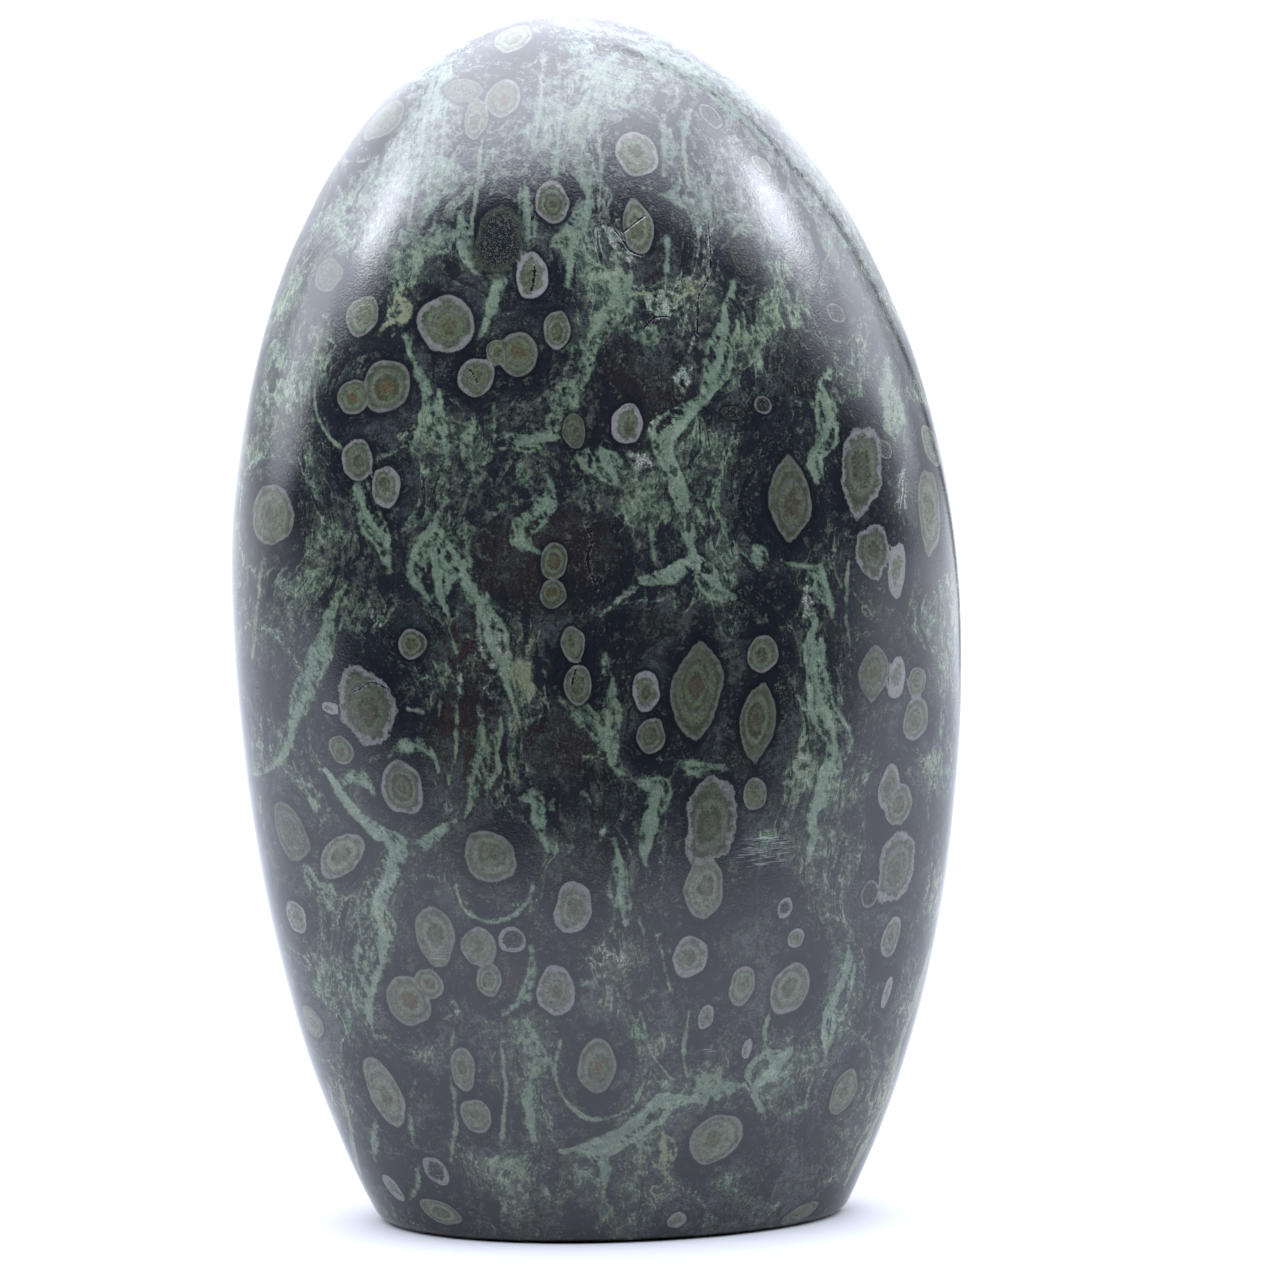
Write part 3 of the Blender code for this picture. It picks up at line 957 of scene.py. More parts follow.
def add_front(pattern, surface, chance):
    """The markings that the photograph shows."""
    for *ellipse, brown in HALOS:
        pattern.add_halo(*front_orb(surface, *ellipse), brown)
    for x, y, half_x, half_y, style, *tilt in ORBS:
        # A painted haze over the lower orbs, standing in for the lit floor's reflection.
        painted_low_haze = LOW_ORB_PAINTED_HAZE * float(smooth(y, *LOW_ORB_HAZE_ROWS))
        pattern.add_orb(*front_orb(surface, x, y, half_x, half_y, *tilt), style, chance, painted_low_haze)
    for tone, width, *pixels in VEINS:
        line = curve_through(pixels, LINE_STEP)
        pattern.add_vein(*front_vein(surface, width, wandering(line, width, chance), chance), tone)
        if width < STRAND_WIDTH or len(line) < STRAND_LEAST_POINTS:
            continue
        for strand in range(STRANDS):
            side = strand_beside(line, width, chance)
            narrow = width * chance.uniform(*STRAND_WIDTHS)
            pattern.add_vein(*front_vein(surface, narrow, side, chance), tone)
    for *ellipse, covered, tone in LACE_FIELDS:
        pattern.add_lace(*front_orb(surface, *ellipse), covered, tone)
    for pixels in CRACKS:
        line = wandering(curve_through(pixels, LINE_STEP), CRACK_WANDER, chance)
        pattern.add_crack(front_vein(surface, 1.0, line, chance)[0])
    for ellipse in SCRATCHED:
        pattern.scratch(*front_orb(surface, *ellipse))
    for ellipse in LENSES:
        pattern.cut_lens(*front_orb(surface, *ellipse))


def pick_one(choices, chance):
    return choices[chance.integers(len(choices))]


def add_hidden_orbs(pattern, hidden, chance):
    centres = []
    tries = 0
    while len(centres) < HIDDEN_ORBS and tries < HIDDEN_ORB_TRIES:
        tries += 1
        pick = pick_one(hidden, chance)
        point = pattern.points[pick]
        normal = pattern.normals[pick]
        if any(np.linalg.norm(point - other) < HIDDEN_ORB_SPACING for other in centres):
            continue
        if pattern.orb[pick] < ORB_CLEARANCE:
            continue
        centres.append(point)
        smallest, largest = HIDDEN_ORB_RADIUS
        size = smallest + (largest - smallest) * chance.random() ** SMALLNESS
        style = pick_one(HIDDEN_STYLES, chance)
        tall = SPINDLE_TALLNESS if style == "spindle" else chance.uniform(*TALLNESS)
        tilt = chance.uniform(-LARGEST_TILT, LARGEST_TILT)
        pattern.add_orb(*hidden_orb(point, normal, size, size * tall, tilt), style, chance)
        if chance.random() < HALO_SHARE:
            wide = size * chance.uniform(*HALO_WIDTHS)
            brown = chance.uniform(*HALO_BROWNNESS)
            pattern.add_halo(*hidden_orb(point, normal, wide, wide), brown)


def hidden_line(middle, chance):
    """A line that drifts up or down over the sides and the back, from a start left to chance."""
    height = chance.uniform(VEIN_START_MARGIN, HEIGHT - VEIN_START_MARGIN)
    turn = math.radians(chance.uniform(*VEIN_TURNS))
    drift = chance.uniform(-VEIN_DRIFT, VEIN_DRIFT)
    rise = 1.0 if chance.random() < 0.5 else -1.0
    line = []
    for step in range(int(chance.integers(*VEIN_STEPS))):
        line.append(wall_points(np.array(height), np.array(turn)) - (middle[0], middle[1], 0.0))
        drift = DRIFT_KEPT * drift + chance.normal(0.0, DRIFT_CHANGE)
        height += rise * VEIN_STEP * math.cos(drift)
        turn += VEIN_STEP * math.sin(drift) / HALF_DEPTH
        if not VEIN_END_MARGIN < height < HEIGHT - VEIN_END_MARGIN:
            break
    return line


def add_hidden_veins(pattern, surface, middle, chance):
    for vein in range(HIDDEN_VEINS):
        line = hidden_line(middle, chance)
        if len(line) < LEAST_POINTS:
            continue
        line = curve_through(line, VEIN_SPACING)
        bow = np.sin(np.linspace(0.0, math.pi, len(line)))
        halves = chance.uniform(*VEIN_HALVES) * (HIDDEN_VEIN_TIP + (1.0 - HIDDEN_VEIN_TIP) * bow)
        halves *= 1.0 + VEIN_SWELL * uneven(len(line), SWELL_SPACING, chance)
        tone = pick_one(HIDDEN_VEIN_TONES, chance)
        unseen = surface.unseen(line)
        if not unseen.any():
            continue
        if unseen.sum() > LEAST_POINTS:
            line = line[unseen]
            halves = halves[unseen]
        pattern.add_vein(line, halves, tone, keep_clear=VEIN_KEEPS_CLEAR)


def add_hidden_lace(pattern, hidden, chance):
    for field in range(HIDDEN_LACE_FIELDS):
        pick = pick_one(hidden, chance)
        wide = chance.uniform(*LACE_WIDTHS)
        tall = chance.uniform(*LACE_HEIGHTS)
        if pattern.halo[pick] > LACE_MOST_HALO:
            continue
        tone = pick_one(HIDDEN_LACE_TONES, chance)
        patch = hidden_orb(pattern.points[pick], pattern.normals[pick], wide, tall)
        pattern.add_lace(*patch, chance.uniform(*LACE_COVERED), tone)


def add_hidden(pattern, surface, middle, chance):
    """Orbs, veins and lace on the sides and the back, out of the camera's sight."""
    sight = unit(surface.place - pattern.points)
    away = (sight * pattern.normals).sum(axis=1) < 0.0
    hidden = np.flatnonzero(away & (pattern.points[:, 2] > HIDDEN_LOWEST))
    add_hidden_orbs(pattern, hidden, chance)
    add_hidden_veins(pattern, surface, middle, chance)
    add_hidden_lace(pattern, hidden, chance)


def store_pattern(mesh, pattern):
    """Put the fields on the mesh, one attribute for each number or three numbers."""
    fields = {
        "orb_rim": pattern.orb_look[:, 0:3],
        "orb_core": pattern.orb_look[:, 3:6],
        "orb_form": pattern.orb_look[:, 6:9],
        "orb_pale_and_haze": pattern.orb_look[:, 9],
        "vein_tone": pattern.vein_look[:, 0:3],
        "vein_lace": pattern.vein_look[:, 3],
    }
    for name in ("orb", "orb_next", "orb_ring", "vein", "vein_way", "vein_half", "vein_flow", "halo",
                 "brown", "crack_way", "lace", "scratched", "flow"):
        fields[name] = getattr(pattern, name)
    for name, values in fields.items():
        kind, key = ("FLOAT", "value") if values.ndim == 1 else ("FLOAT_VECTOR", "vector")
        attribute = mesh.attributes.new(name, kind, "POINT")
        attribute.data.foreach_set(key, values.astype(np.float32).ravel())


class Graph:
    """Builds a shader from plain calls. Each returns the socket that carries its result."""

    def __init__(self, tree):
        self.tree = tree
        self.shared = SimpleNamespace()

    def node(self, kind, inputs=None, **settings):
        """A node with settings, and with values or sockets in its inputs."""
        made = self.tree.nodes.new(kind)
        for name, value in settings.items():
            setattr(made, name, value)
        for name, value in (inputs or {}).items():
            self.feed(made.inputs[name], value)
        return made

    def feed(self, socket, value):
        if isinstance(value, bpy.types.NodeSocket):
            self.tree.links.new(value, socket)
        else:
            socket.default_value = value

    def attribute(self, name):
        return self.node("ShaderNodeAttribute", attribute_name=name).outputs["Fac"]

    def attribute_vector(self, name):
        return self.node("ShaderNodeAttribute", attribute_name=name).outputs["Vector"]

    def parts(self, vector):
        return self.node("ShaderNodeSeparateXYZ", {0: vector}).outputs

    def length(self, vector):
        return self.node("ShaderNodeVectorMath", {0: vector}, operation="LENGTH").outputs["Value"]

    def maths(self, operation, *values, clamped=False):
        inputs = dict(enumerate(values))
        return self.node("ShaderNodeMath", inputs, operation=operation, use_clamp=clamped).outputs[0]

    def add(self, *values, **noises):
        """The sum of values, and of shared noises told by name, each times its own share."""
        terms = list(values)
        for name, share in noises.items():
            terms.append(self.times(getattr(self.shared, name), share))
        total = terms[0]
        for term in terms[1:]:
            total = self.maths("ADD", total, term)
        return total

    def times(self, *values):
        total = values[0]
        for value in values[1:]:
            total = self.maths("MULTIPLY", total, value)
        return total

    def less(self, first, second, clamped=False):
        return self.maths("SUBTRACT", first, second, clamped=clamped)

    def step(self, value, low, high):
        """0 below low, 1 above high, and smooth between them. Low may be above high."""
        inputs = {"Value": value, "From Min": low, "From Max": high}
        made = self.node("ShaderNodeMapRange", inputs, interpolation_type="SMOOTHSTEP")
        return made.outputs["Result"]

    def scaled(self, vector, factors):
        inputs = {0: vector, 1: factors}
        return self.node("ShaderNodeVectorMath", inputs, operation="MULTIPLY").outputs[0]

    def noise(self, vector, scale, detail=3.0, roughness=0.55):
        """Cloudy noise about 0, mostly between -0.3 and 0.3."""
        inputs = {"Vector": vector, "Scale": scale, "Detail": detail, "Roughness": roughness}
        return self.less(self.node("ShaderNodeTexNoise", inputs).outputs["Fac"], 0.5)

    def moved(self, vector, scale, amount):
        """A vector pushed about by cloudy noise, by up to about half the amount."""
        cloud = self.node("ShaderNodeTexNoise", {"Vector": vector, "Scale": scale, "Detail": 0.0})
        inputs = {0: cloud.outputs["Color"], 1: (amount, amount, amount), 2: vector}
        return self.node("ShaderNodeVectorMath", inputs, operation="MULTIPLY_ADD").outputs[0]

    def mix(self, share, first, second):
        return self.node("ShaderNodeMix", {0: share, 6: first, 7: second}, data_type="RGBA").outputs[2]

    def shade(self, colour, factor):
        """A colour made lighter or darker by a factor."""
        inputs = {0: colour, "Scale": factor}
        return self.node("ShaderNodeVectorMath", inputs, operation="SCALE").outputs[0]


# Colours of the rock, linear, and the colour of a painted haze.
NAVY = (0.0085, 0.0105, 0.0138, 1.0)
UMBER = (0.0190, 0.0138, 0.0140, 1.0)
SOOT = (0.0040, 0.0052, 0.0075, 1.0)
SMOKE = (0.0520, 0.0550, 0.0620, 1.0)
TEAL = (0.0150, 0.0235, 0.0240, 1.0)
PINE = (0.0215, 0.0290, 0.0235, 1.0)
SAGE_DARK = (0.0420, 0.0590, 0.0450, 1.0)
SAGE = (0.0840, 0.1145, 0.0850, 1.0)
SAGE_LIGHT = (0.1330, 0.1715, 0.1330, 1.0)
STONE_GREY = (0.0430, 0.0430, 0.0390, 1.0)
YELLOW_SAGE = (0.1200, 0.1300, 0.0750, 1.0)
# Not a colour of the rock: a painted haze that stands in for the overhead light's reflection at the
# crown.
PAINTED_CROWN_HAZE = (0.0830, 0.0980, 0.0930, 1.0)
CRYSTAL = (0.1700, 0.1700, 0.1700, 1.0)
OLIVE_DARK = (0.0210, 0.0265, 0.0155, 1.0)
OLIVE = (0.0470, 0.0620, 0.0350, 1.0)
OLIVE_GREY = (0.0500, 0.0640, 0.0460, 1.0)
OLIVE_PALE = (0.0950, 0.1120, 0.0860, 1.0)
RUST = (0.0520, 0.0330, 0.0200, 1.0)
RIM = (0.1400, 0.1330, 0.1420, 1.0)
CORE_DARK = (0.0080, 0.0100, 0.0125, 1.0)
SPECK = (0.3000, 0.3100, 0.3200, 1.0)

# Heights in millimetres between which the rock grows smokier downwards, a painted haze that
# stands in for the lit floor's reflection, and its greens grow more plentiful upwards, and
# mistier, a painted haze that stands in for the overhead light's reflection.
PAINTED_LOW_HAZE_HEIGHTS = (40.0, 20.0)
CROWN_GREENS_AND_HAZE_HEIGHTS = (92.0, 106.0)

# Where each marking starts and where it is full, on the field or the noise that shapes it.
# First the ground.
BROWN_GROUND = (-0.30, 1.10)
SOOT_IN_HALO = (0.45, 1.0)
TEAL_CLOUDS = (0.0, 0.28)
SMOKE_CLOUDS = (-0.08, 0.62)

# Then the greens, from their fields and threads to their colours.
BESIDE_VEIN = (-0.8, -0.1)
OPEN_GROUND = (0.62, 0.10)
FILAMENT = (0.045, 0.008)
FILAMENT_PATCH = (-0.14, 0.16)
OUTLINE_START = (0.14, 0.26)
OUTLINE_END = (0.44, 0.30)
PORES = (0.20, 0.30)
PORES_IN_BODY = (0.25, 0.60)
GREY_PATCH = (-0.05, 0.35)
GREY_OFF_BODY = (0.55, 0.15)
YELLOW_PATCH = (0.02, 0.40)
YELLOW_ON_GREEN = (0.5, 0.9)
CRYSTAL_GRAINS = (-0.15, 0.2)
CRYSTAL_ON_GREEN = (0.6, 0.9)
SAGE_DARK_FROM = (0.34, 0.68)
SAGE_FROM = (0.56, 0.90)
SAGE_LIGHT_FROM = (0.90, 1.15)
COVERED_FROM = (0.12, 0.54)

# Then the orbs, from the middle outwards, in orb radii apart from the grains.
RINGS_FROM = (0.10, 0.30)
RUST_CENTRE = (0.52, 0.12)
OLIVE_SHADE = (0.05, 0.95)
OUTER_CORE = (0.35, 0.75)
PALE_CORE = (0.20, 0.60)
PALE_RING_START = (0.50, 0.56)
PALE_RING_END = (0.66, 0.59)
CORE_GRAINS = (0.26, 0.06)
ORB_EDGE = (1.035, 0.965)
ORB_SHADOW = (1.45, 1.03)
OUTER_RING_START = (1.15, 1.20)
OUTER_RING_END = (1.30, 1.23)
OUTER_RING_PATCH = (-0.05, 0.25)
TWIN_GAP = (0.20, 0.04)
TWIN_RADIUS = (1.15, 1.0)
RIM_GRAINS = (-0.42, 0.30)

# Last the cracks, in millimetres, and the specks.
CRACK_FRINGE = (0.42, 0.10)
FRINGE_GRAINS = (0.02, 0.24)
CRACK_EDGE = (0.13, 0.04)
CRACK_RELIEF = (0.15, 0.04)
SPECKS = (0.35, 0.42)
SCRATCHES = (0.05, 0.0)

# The polish.
POLISH_ROUGHNESS = 0.12
ROCK_IOR = 1.54
RELIEF_HEIGHT = 0.00002
RELIEF_STRENGTH = 0.35


def add_shared_noise(g):
    """Noise that the parts of the pattern share, from clouds of a centimetre to dust."""
    place = g.scaled(g.node("ShaderNodeTexCoord").outputs["Object"], (1 / MM, 1 / MM, 1 / MM))
    flow = g.moved(g.attribute_vector("flow"), 0.35, 2.2)
    height = g.parts(place)[2]
    g.shared = SimpleNamespace(
        place=place,
        # low grows towards the bottom: it drives a painted haze that stands in for the lit floor's
        # reflection.
        low=g.step(height, *PAINTED_LOW_HAZE_HEIGHTS),
        # crown grows towards the top: it brings more greens, the rock's own, and a painted haze that
        # stands in for the overhead light's reflection.
        crown=g.step(height, *CROWN_GREENS_AND_HAZE_HEIGHTS),
        clouds=g.noise(place, 0.16, 1.0, 0.5),
        streaks=g.noise(g.scaled(flow, (1.0, 1.0, ALONG_STREAK)), 0.62, 3.0, 0.60),
        vein_threads=g.noise(g.attribute_vector("vein_flow"), 0.75, 3.0, 0.50),
        curls=g.noise(place, 1.1, 3.0, 0.62),
        grain=g.noise(place, 3.4, 2.0, 0.65),
        dust=g.noise(place, 11.0, 0.0),
    )


def add_ground(g):
    """The dark ground, between navy and umber with smoky mottling, blackest round the orbs, and
    smokier towards the bottom, a painted haze that stands in for the lit floor's reflection.
    """
    halo = g.attribute("halo")
    brownness = g.step(g.add(g.attribute("brown"), clouds=2.4, streaks=1.6), *BROWN_GROUND)
    colour = g.mix(brownness, NAVY, UMBER)
    soot = g.times(g.step(halo, *SOOT_IN_HALO), g.add(0.50, g.times(brownness, -0.35)))
    colour = g.mix(soot, colour, SOOT)
    teal = g.step(g.add(g.shared.clouds, streaks=1.2), *TEAL_CLOUDS)
    colour = g.mix(g.times(teal, 0.7), colour, TEAL)
    # The smoky mottling is the rock's own; its growth towards the bottom, through low, is a painted haze
    # that stands in for the lit floor's reflection.
    mottling = g.add(curls=1.7, grain=0.9, clouds=1.5, streaks=0.7, low=0.16)
    smoke = g.step(g.add(mottling, g.times(halo, -0.15)), *SMOKE_CLOUDS)
    colour = g.mix(g.times(smoke, g.add(0.55, low=0.25)), colour, SMOKE)
    return g.shade(colour, g.add(1.0, grain=1.4, dust=1.6)), halo


def vein_body(g, reach, laciness, brightness):
    """The solid part of the veins, with frayed edges, and the pores in it."""
    frayed = g.add(curls=g.add(0.35, g.times(laciness, 1.1)), grain=g.add(0.15, g.times(laciness, 0.5)))
    start = g.add(-0.24, g.times(laciness, -0.45))
    full = g.add(0.13, g.times(laciness, 0.20))
    body = g.step(g.add(reach, frayed), start, full)
    hollow = g.step(g.add(g.shared.curls, vein_threads=0.6), *PORES)
    pores = g.times(hollow, g.step(body, *PORES_IN_BODY))
    return g.times(body, g.add(0.70, g.times(brightness, 0.18), g.times(laciness, -0.10))), pores


def green_amount(g, halo, brightness, laciness):
    """How green the rock is: thin mottling between the halos, lacy fields, and the veins."""
    n = g.shared
    reach = g.less(g.attribute("vein_half"), g.length(g.attribute_vector("vein_way")))
    reach = g.maths("MINIMUM", reach, g.add(g.attribute("vein"), 0.10))
    near = g.step(reach, *BESIDE_VEIN)
    threads = g.add(g.times(n.streaks, g.less(1.0, near)), vein_threads=near)
    ridge = g.less(1.0, g.times(g.maths("ABSOLUTE", threads), 7.0), clamped=True)

    edge = g.add(halo, curls=1.1, streaks=1.3, clouds=0.6)
    open_ground = g.times(g.step(edge, *OPEN_GROUND), g.add(0.20, clouds=0.9))
    filament = g.times(g.step(g.maths("ABSOLUTE", g.add(n.streaks, 0.03)), *FILAMENT),
                       g.step(g.add(n.clouds, n.grain), *FILAMENT_PATCH))
    outline = g.times(g.step(edge, *OUTLINE_START), g.step(edge, *OUTLINE_END))
    crown = g.times(n.crown, g.add(0.05, curls=0.7, clouds=0.2))
    field = g.add(open_ground, g.times(g.attribute("lace"), 0.40), g.times(outline, 0.28),
                  g.times(filament, 0.30), crown)

    body, pores = vein_body(g, reach, laciness, brightness)
    clots = g.add(curls=1.05, grain=0.38, dust=0.20)
    strength = g.add(0.34, g.times(body, -0.24), g.times(near, -0.10))
    amount = g.add(g.maths("MAXIMUM", field, body), g.times(g.add(ridge, -0.40), strength),
                   g.times(clots, g.add(1.0, g.times(body, -0.50))), g.times(pores, -0.50),
                   streaks=g.add(0.80, g.times(body, -0.45)), vein_threads=body)
    return amount, body


def add_greens(g, colour, halo):
    """The green threads, fields and veins over the ground, from pine to light sage."""
    n = g.shared
    tone = g.parts(g.attribute_vector("vein_tone"))
    amount, body = green_amount(g, halo, tone[0], g.attribute("vein_lace"))
    green = g.mix(g.step(amount, *SAGE_DARK_FROM), PINE, SAGE_DARK)
    greyness = g.step(g.add(n.streaks, curls=0.8, clouds=-0.8), *GREY_PATCH)
    green = g.mix(g.times(greyness, g.step(body, *GREY_OFF_BODY), 0.75), green, STONE_GREY)
    green = g.mix(g.step(amount, *SAGE_FROM), green, SAGE)
    green = g.mix(g.step(amount, *SAGE_LIGHT_FROM), green, SAGE_LIGHT)
    yellow = g.times(g.step(g.add(n.clouds, n.streaks), *YELLOW_PATCH), 0.35)
    yellow = g.add(g.times(tone[1], 0.7), yellow)
    green = g.mix(g.times(yellow, g.step(amount, *YELLOW_ON_GREEN)), green, YELLOW_SAGE)
    grains = g.step(g.add(n.grain, n.dust), *CRYSTAL_GRAINS)
    crystal = g.times(tone[2], grains, g.step(amount, *CRYSTAL_ON_GREEN))
    green = g.mix(crystal, green, CRYSTAL)
    # Greens grow misty towards the crown: a painted haze that stands in for the overhead light's
    # reflection.
    green = g.mix(g.times(n.crown, 0.45), green, PAINTED_CROWN_HAZE)
    green = g.shade(green, g.add(1.0, grain=0.8, dust=0.9))
    covered = g.times(g.step(amount, *COVERED_FROM), 0.95)
    return g.mix(covered, colour, green), covered, crystal


def orb_core(g, inner, form):
    """An orb's inside: olive with faint off-centre rings, paleness, rust and dark grains."""
    n = g.shared
    rust, dark, yellowness = g.parts(g.attribute_vector("orb_core"))
    ring_strength, own = form[1], form[2]
    waves = g.add(g.times(inner, g.add(13.0, g.times(own, 8.0))), g.times(own, 40.0), curls=2.0)
    rings = g.times(g.maths("SINE", waves), g.step(inner, *RINGS_FROM), ring_strength)
    own_shade = g.times(g.maths("SINE", g.times(own, 91.0)), 0.16)
    shade = g.add(0.50, g.times(rings, 0.42), own_shade, curls=1.7, grain=1.4)
    olive = g.mix(g.step(shade, *OLIVE_SHADE), OLIVE_DARK, OLIVE)
    greyness = g.times(g.step(inner, *OUTER_CORE), g.less(1.0, yellowness), 0.45)
    olive = g.mix(greyness, olive, OLIVE_GREY)
    outward = g.add(0.40, g.times(g.step(inner, *PALE_CORE), 0.60))
    # This field holds the orb's own paleness and, on the lower orbs, a painted haze that stands in for
    # the lit floor's reflection.
    paleness = g.times(g.attribute("orb_pale_and_haze"), outward)
    paleness = g.times(paleness, g.add(1.0, g.times(rings, 0.5), curls=2.6, grain=1.4))
    olive = g.mix(paleness, olive, OLIVE_PALE)
    pale_ring = g.times(g.step(inner, *PALE_RING_START), g.step(inner, *PALE_RING_END))
    olive = g.mix(g.times(pale_ring, ring_strength, 0.22), olive, RIM)
    centre = g.step(g.add(inner, curls=0.4, grain=0.3), *RUST_CENTRE)
    olive = g.mix(g.times(rust, centre, 0.70), olive, RUST)
    olive = g.mix(g.times(dark, 0.8), olive, STONE_GREY)
    grains = g.step(g.add(n.grain, n.dust), *CORE_GRAINS)
    olive = g.mix(g.times(dark, grains), olive, CORE_DARK)
    return g.shade(olive, g.add(1.0, n.dust, grain=0.8))


def add_orbs(g, colour):
    """Orbs: an olive core, a mauve-grey rim inside a dark outline, and an outer ring."""
    n = g.shared
    rim_width, rim_brightness, outer_ring = g.parts(g.attribute_vector("orb_rim"))
    form = g.parts(g.attribute_vector("orb_form"))
    wobble = g.add(curls=g.add(0.08, g.times(form[0], 0.35)), grain=g.add(0.05, g.times(form[0], 0.12)))
    radius = g.add(g.attribute("orb"), wobble)
    inner = g.add(g.attribute("orb_ring"), g.times(wobble, 0.8))
    olive = orb_core(g, inner, form)

    rim_start = g.less(1.0, g.times(rim_width, g.add(1.0, curls=2.4)))
    shadow = g.step(radius, g.add(rim_start, -0.26), g.add(rim_start, -0.06))
    olive = g.mix(g.times(shadow, 0.45), olive, OLIVE_DARK)
    rim = g.step(radius, g.add(rim_start, -0.11), g.add(rim_start, 0.09))
    twin = g.less(g.attribute("orb_next"), g.attribute("orb"))
    joint = g.times(g.step(twin, *TWIN_GAP), g.step(g.attribute("orb_next"), *TWIN_RADIUS))
    uneven_rim = g.step(g.add(n.curls, n.dust, grain=0.8), *RIM_GRAINS)
    rim = g.times(g.maths("MAXIMUM", rim, joint), g.add(0.35, g.times(uneven_rim, 0.65)), rim_brightness)

    colour = g.mix(g.times(g.step(radius, *ORB_SHADOW), 0.80), colour, SOOT)
    outer = g.times(g.step(radius, *OUTER_RING_START), g.step(radius, *OUTER_RING_END), outer_ring,
                    g.step(n.curls, *OUTER_RING_PATCH), 0.4)
    colour = g.mix(outer, colour, RIM)
    return g.mix(g.step(radius, *ORB_EDGE), colour, g.mix(rim, olive, RIM))


def add_cracks(g, colour):
    """Black cracks with a fringe of grey crystals."""
    gap = g.length(g.attribute_vector("crack_way"))
    away = g.add(gap, curls=0.35, grain=0.35)
    grains = g.step(g.add(g.shared.grain, g.shared.dust), *FRINGE_GRAINS)
    colour = g.mix(g.times(g.step(away, *CRACK_FRINGE), grains, 0.55), colour, CRYSTAL)
    return g.mix(g.step(away, *CRACK_EDGE), colour, SOOT), g.step(gap, *CRACK_RELIEF)


def add_specks(g, colour):
    """Bright dust-sized specks, and patches of fine level scratches."""
    place = g.shared.place
    specks = g.step(g.add(g.noise(place, 7.0, 0.0), streaks=0.25), *SPECKS)
    lines = g.noise(g.scaled(place, (0.25, 0.25, 6.0)), 1.0, 1.0, 0.6)
    scratches = g.times(g.attribute("scratched"), g.step(g.maths("ABSOLUTE", lines), *SCRATCHES))
    specks = g.times(g.maths("MAXIMUM", specks, scratches), 0.45)
    return g.mix(specks, colour, SPECK), specks


def rock_material():
    material = bpy.data.materials.new("polished_rock")
    material.use_nodes = True
    g = Graph(material.node_tree)
    add_shared_noise(g)
    colour, halo = add_ground(g)
    colour, greens, crystal = add_greens(g, colour, halo)
    colour = add_orbs(g, colour)
    colour, crack = add_cracks(g, colour)
    colour, specks = add_specks(g, colour)
    relief = g.add(g.noise(g.shared.place, 5.0, 0.0), g.times(crack, -3.0))
    inputs = {"Height": relief, "Distance": RELIEF_HEIGHT, "Strength": RELIEF_STRENGTH}
    bump = g.node("ShaderNodeBump", inputs)
    rough = g.add(POLISH_ROUGHNESS, g.times(greens, 0.04), g.times(crystal, 0.15), g.times(specks, 0.3))
    shader = material.node_tree.nodes["Principled BSDF"]
    g.feed(shader.inputs["Base Color"], colour)
    g.feed(shader.inputs["Roughness"], rough)
    g.feed(shader.inputs["IOR"], ROCK_IOR)
    g.feed(shader.inputs["Normal"], bump.outputs[0])
    return material


# Light: pale surroundings with a bright overhead and a dark front. Directions are told by
# their height and by how far they point towards the camera's side. Each pair is where a light
# starts and where it is full.
LIGHT_TINT = (0.93, 0.97, 1.08, 1.0)
SEEN_WHITE = 1.08
FRONT_DARK = 0.03
FRONT_TILT = 0.87
FRONT_EDGE = (-0.05, 0.32)
OVERHEAD_EDGE = (0.62, 0.79)
HORIZON_LEVEL = 1.3
UPPER_LEVEL = 3.6
UPPER_HEIGHTS = (0.0, 0.6)
OVERHEAD_LEVEL = 5.0
OVERHEAD_HEIGHTS = (0.62, 0.95)

# Under the horizon the surroundings glow as a wide pale floor would, apart from the front, and
# more so at the right.
FLOOR_GLOW = 0.75
RIGHT_GLOW = 0.9
GLOW_HEIGHTS = (0.04, -0.04)
GLOW_SIDE = (0.45, 0.05)
RIGHT_SIDE = (0.2, 0.7)

# A dark seam between the back and the right-hand side of the surroundings.
SEAM_TILT = 1.36
SEAM_PLACE = 1.10
SEAM_WIDTH = 0.07
SEAM_CORE = 0.4
SEAM_SIDE = (0.18, 0.40)
SEAM_DARK = 0.8

# Soft side lights: azimuth, 0 in front and growing to the right, elevation, half angle, level.
# Each is brightest within this share of its half angle.
SIDE_LIGHTS = (
    (-80.0, 40.0, 24.0, 3.0), (-76.0, 36.0, 10.0, 8.0), (-102.0, 15.0, 18.0, 2.5),
    (76.0, 34.0, 15.0, 3.5), (77.0, 32.0, 8.0, 9.0), (97.0, 15.0, 14.0, 2.0),
)
SIDE_LIGHT_CORE = 0.45

# The floor is a pale disc that fades out, in metres: round its edge, and towards the front.
FLOOR_RADIUS = 0.60
FLOOR_SIDES = 64
FLOOR_DROP = 0.00005
FLOOR_FADE = (0.58, 0.28)
FLOOR_FRONT = (-0.19, -0.060)
FLOOR_COLOUR = (0.295, 0.300, 0.312, 1.0)
FLOOR_ROUGHNESS = 0.9


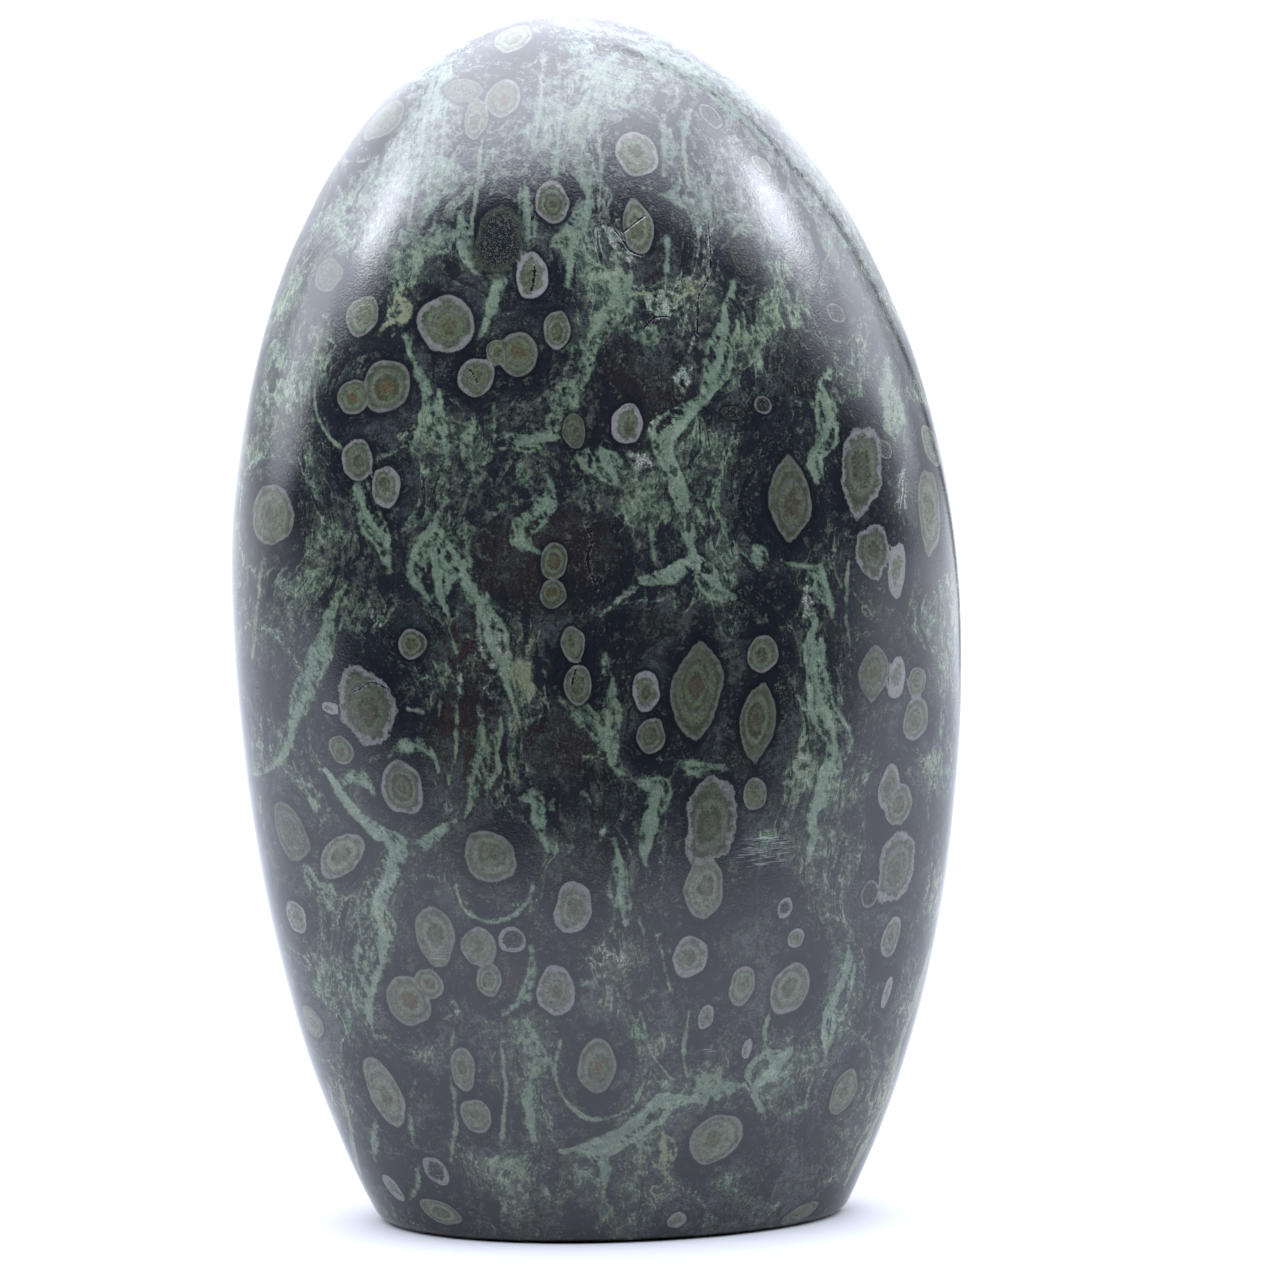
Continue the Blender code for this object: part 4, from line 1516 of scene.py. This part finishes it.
def add_floor():
    turns = [2.0 * math.pi * k / FLOOR_SIDES for k in range(FLOOR_SIDES)]
    rim = [(FLOOR_RADIUS * math.cos(turn), FLOOR_RADIUS * math.sin(turn), 0.0) for turn in turns]
    mesh = bpy.data.meshes.new("floor")
    mesh.from_pydata(rim, [], [list(range(FLOOR_SIDES))])
    floor = bpy.data.objects.new("floor", mesh)
    floor.location.z = LOW.z - FLOOR_DROP
    material = bpy.data.materials.new("pale_floor")
    material.use_nodes = True
    g = Graph(material.node_tree)
    place = g.node("ShaderNodeTexCoord").outputs["Object"]
    shader = material.node_tree.nodes["Principled BSDF"]
    g.feed(shader.inputs["Base Color"], FLOOR_COLOUR)
    g.feed(shader.inputs["Roughness"], FLOOR_ROUGHNESS)
    g.feed(shader.inputs["Specular IOR Level"], 0.0)
    shown = g.times(g.step(g.parts(place)[1], *FLOOR_FRONT), g.step(g.length(place), *FLOOR_FADE))
    g.feed(shader.inputs["Alpha"], shown)
    mesh.materials.append(material)
    bpy.context.scene.collection.objects.link(floor)


def direction(azimuth, elevation):
    a, e = math.radians(azimuth), math.radians(elevation)
    return (math.sin(a) * math.cos(e), -math.cos(a) * math.cos(e), math.sin(e))


def light_level(g, way):
    """How bright the surroundings are in each direction."""
    right, back, upward = g.parts(way)
    towards = g.add(g.times(right, -math.sin(CAMERA_AZIMUTH)), g.times(back, -math.cos(CAMERA_AZIMUTH)))
    tilted = g.add(upward, g.times(towards, -FRONT_TILT))
    lit = g.maths("MAXIMUM", g.step(tilted, *FRONT_EDGE), g.step(upward, *OVERHEAD_EDGE))
    level = g.add(HORIZON_LEVEL, g.times(g.step(upward, *UPPER_HEIGHTS), UPPER_LEVEL))
    overhead = g.times(g.step(upward, *OVERHEAD_HEIGHTS), OVERHEAD_LEVEL)
    level = g.add(g.times(lit, level), FRONT_DARK, overhead)
    under = g.times(g.step(upward, *GLOW_HEIGHTS), g.step(towards, *GLOW_SIDE))
    glow = g.add(FLOOR_GLOW, g.times(g.step(right, *RIGHT_SIDE), RIGHT_GLOW))
    level = g.add(level, g.times(under, glow))
    seam = g.maths("ABSOLUTE", g.add(upward, g.times(towards, -SEAM_TILT), -SEAM_PLACE))
    seam = g.times(g.step(seam, SEAM_WIDTH, SEAM_WIDTH * SEAM_CORE), g.step(right, *SEAM_SIDE))
    level = g.times(level, g.add(1.0, g.times(seam, -SEAM_DARK)))
    for azimuth, elevation, half_angle, power in SIDE_LIGHTS:
        inputs = {0: way, 1: direction(azimuth, elevation)}
        aim = g.node("ShaderNodeVectorMath", inputs, operation="DOT_PRODUCT").outputs["Value"]
        edge = math.cos(math.radians(half_angle))
        core_edge = math.cos(math.radians(half_angle * SIDE_LIGHT_CORE))
        level = g.add(level, g.times(g.step(aim, edge, core_edge), power))
    return level


def add_world():
    world = bpy.data.worlds.new("studio")
    bpy.context.scene.world = world
    world.use_nodes = True
    g = Graph(world.node_tree)
    surroundings = world.node_tree.nodes["Background"]
    way = g.node("ShaderNodeTexCoord").outputs["Generated"]
    g.feed(surroundings.inputs["Color"], LIGHT_TINT)
    g.feed(surroundings.inputs["Strength"], light_level(g, way))

    # The camera itself sees plain white behind the stone.
    white = g.node("ShaderNodeBackground", {"Color": (1.0, 1.0, 1.0, 1.0), "Strength": SEEN_WHITE})
    seen = g.node("ShaderNodeLightPath").outputs["Is Camera Ray"]
    choice = g.node("ShaderNodeMixShader", {0: seen, 1: surroundings.outputs[0], 2: white.outputs[0]})
    g.feed(world.node_tree.nodes["World Output"].inputs["Surface"], choice.outputs[0])


def main():
    add_camera()
    stone, points, middle = build_stone()
    mesh = stone.data
    normals = np.zeros(len(points) * 3, np.float32)
    mesh.vertex_normals.foreach_get("vector", normals)
    surface = Surface(stone)
    chance = np.random.default_rng(SEED)
    pattern = Pattern(points, normals.reshape(-1, 3).astype(float))
    add_front(pattern, surface, chance)
    add_hidden(pattern, surface, middle, chance)
    store_pattern(mesh, pattern)
    mesh.materials.append(rock_material())
    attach(stone, "root")
    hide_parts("stone")
    add_floor()
    add_world()
    bpy.context.scene.view_settings.view_transform = "Standard"


main()
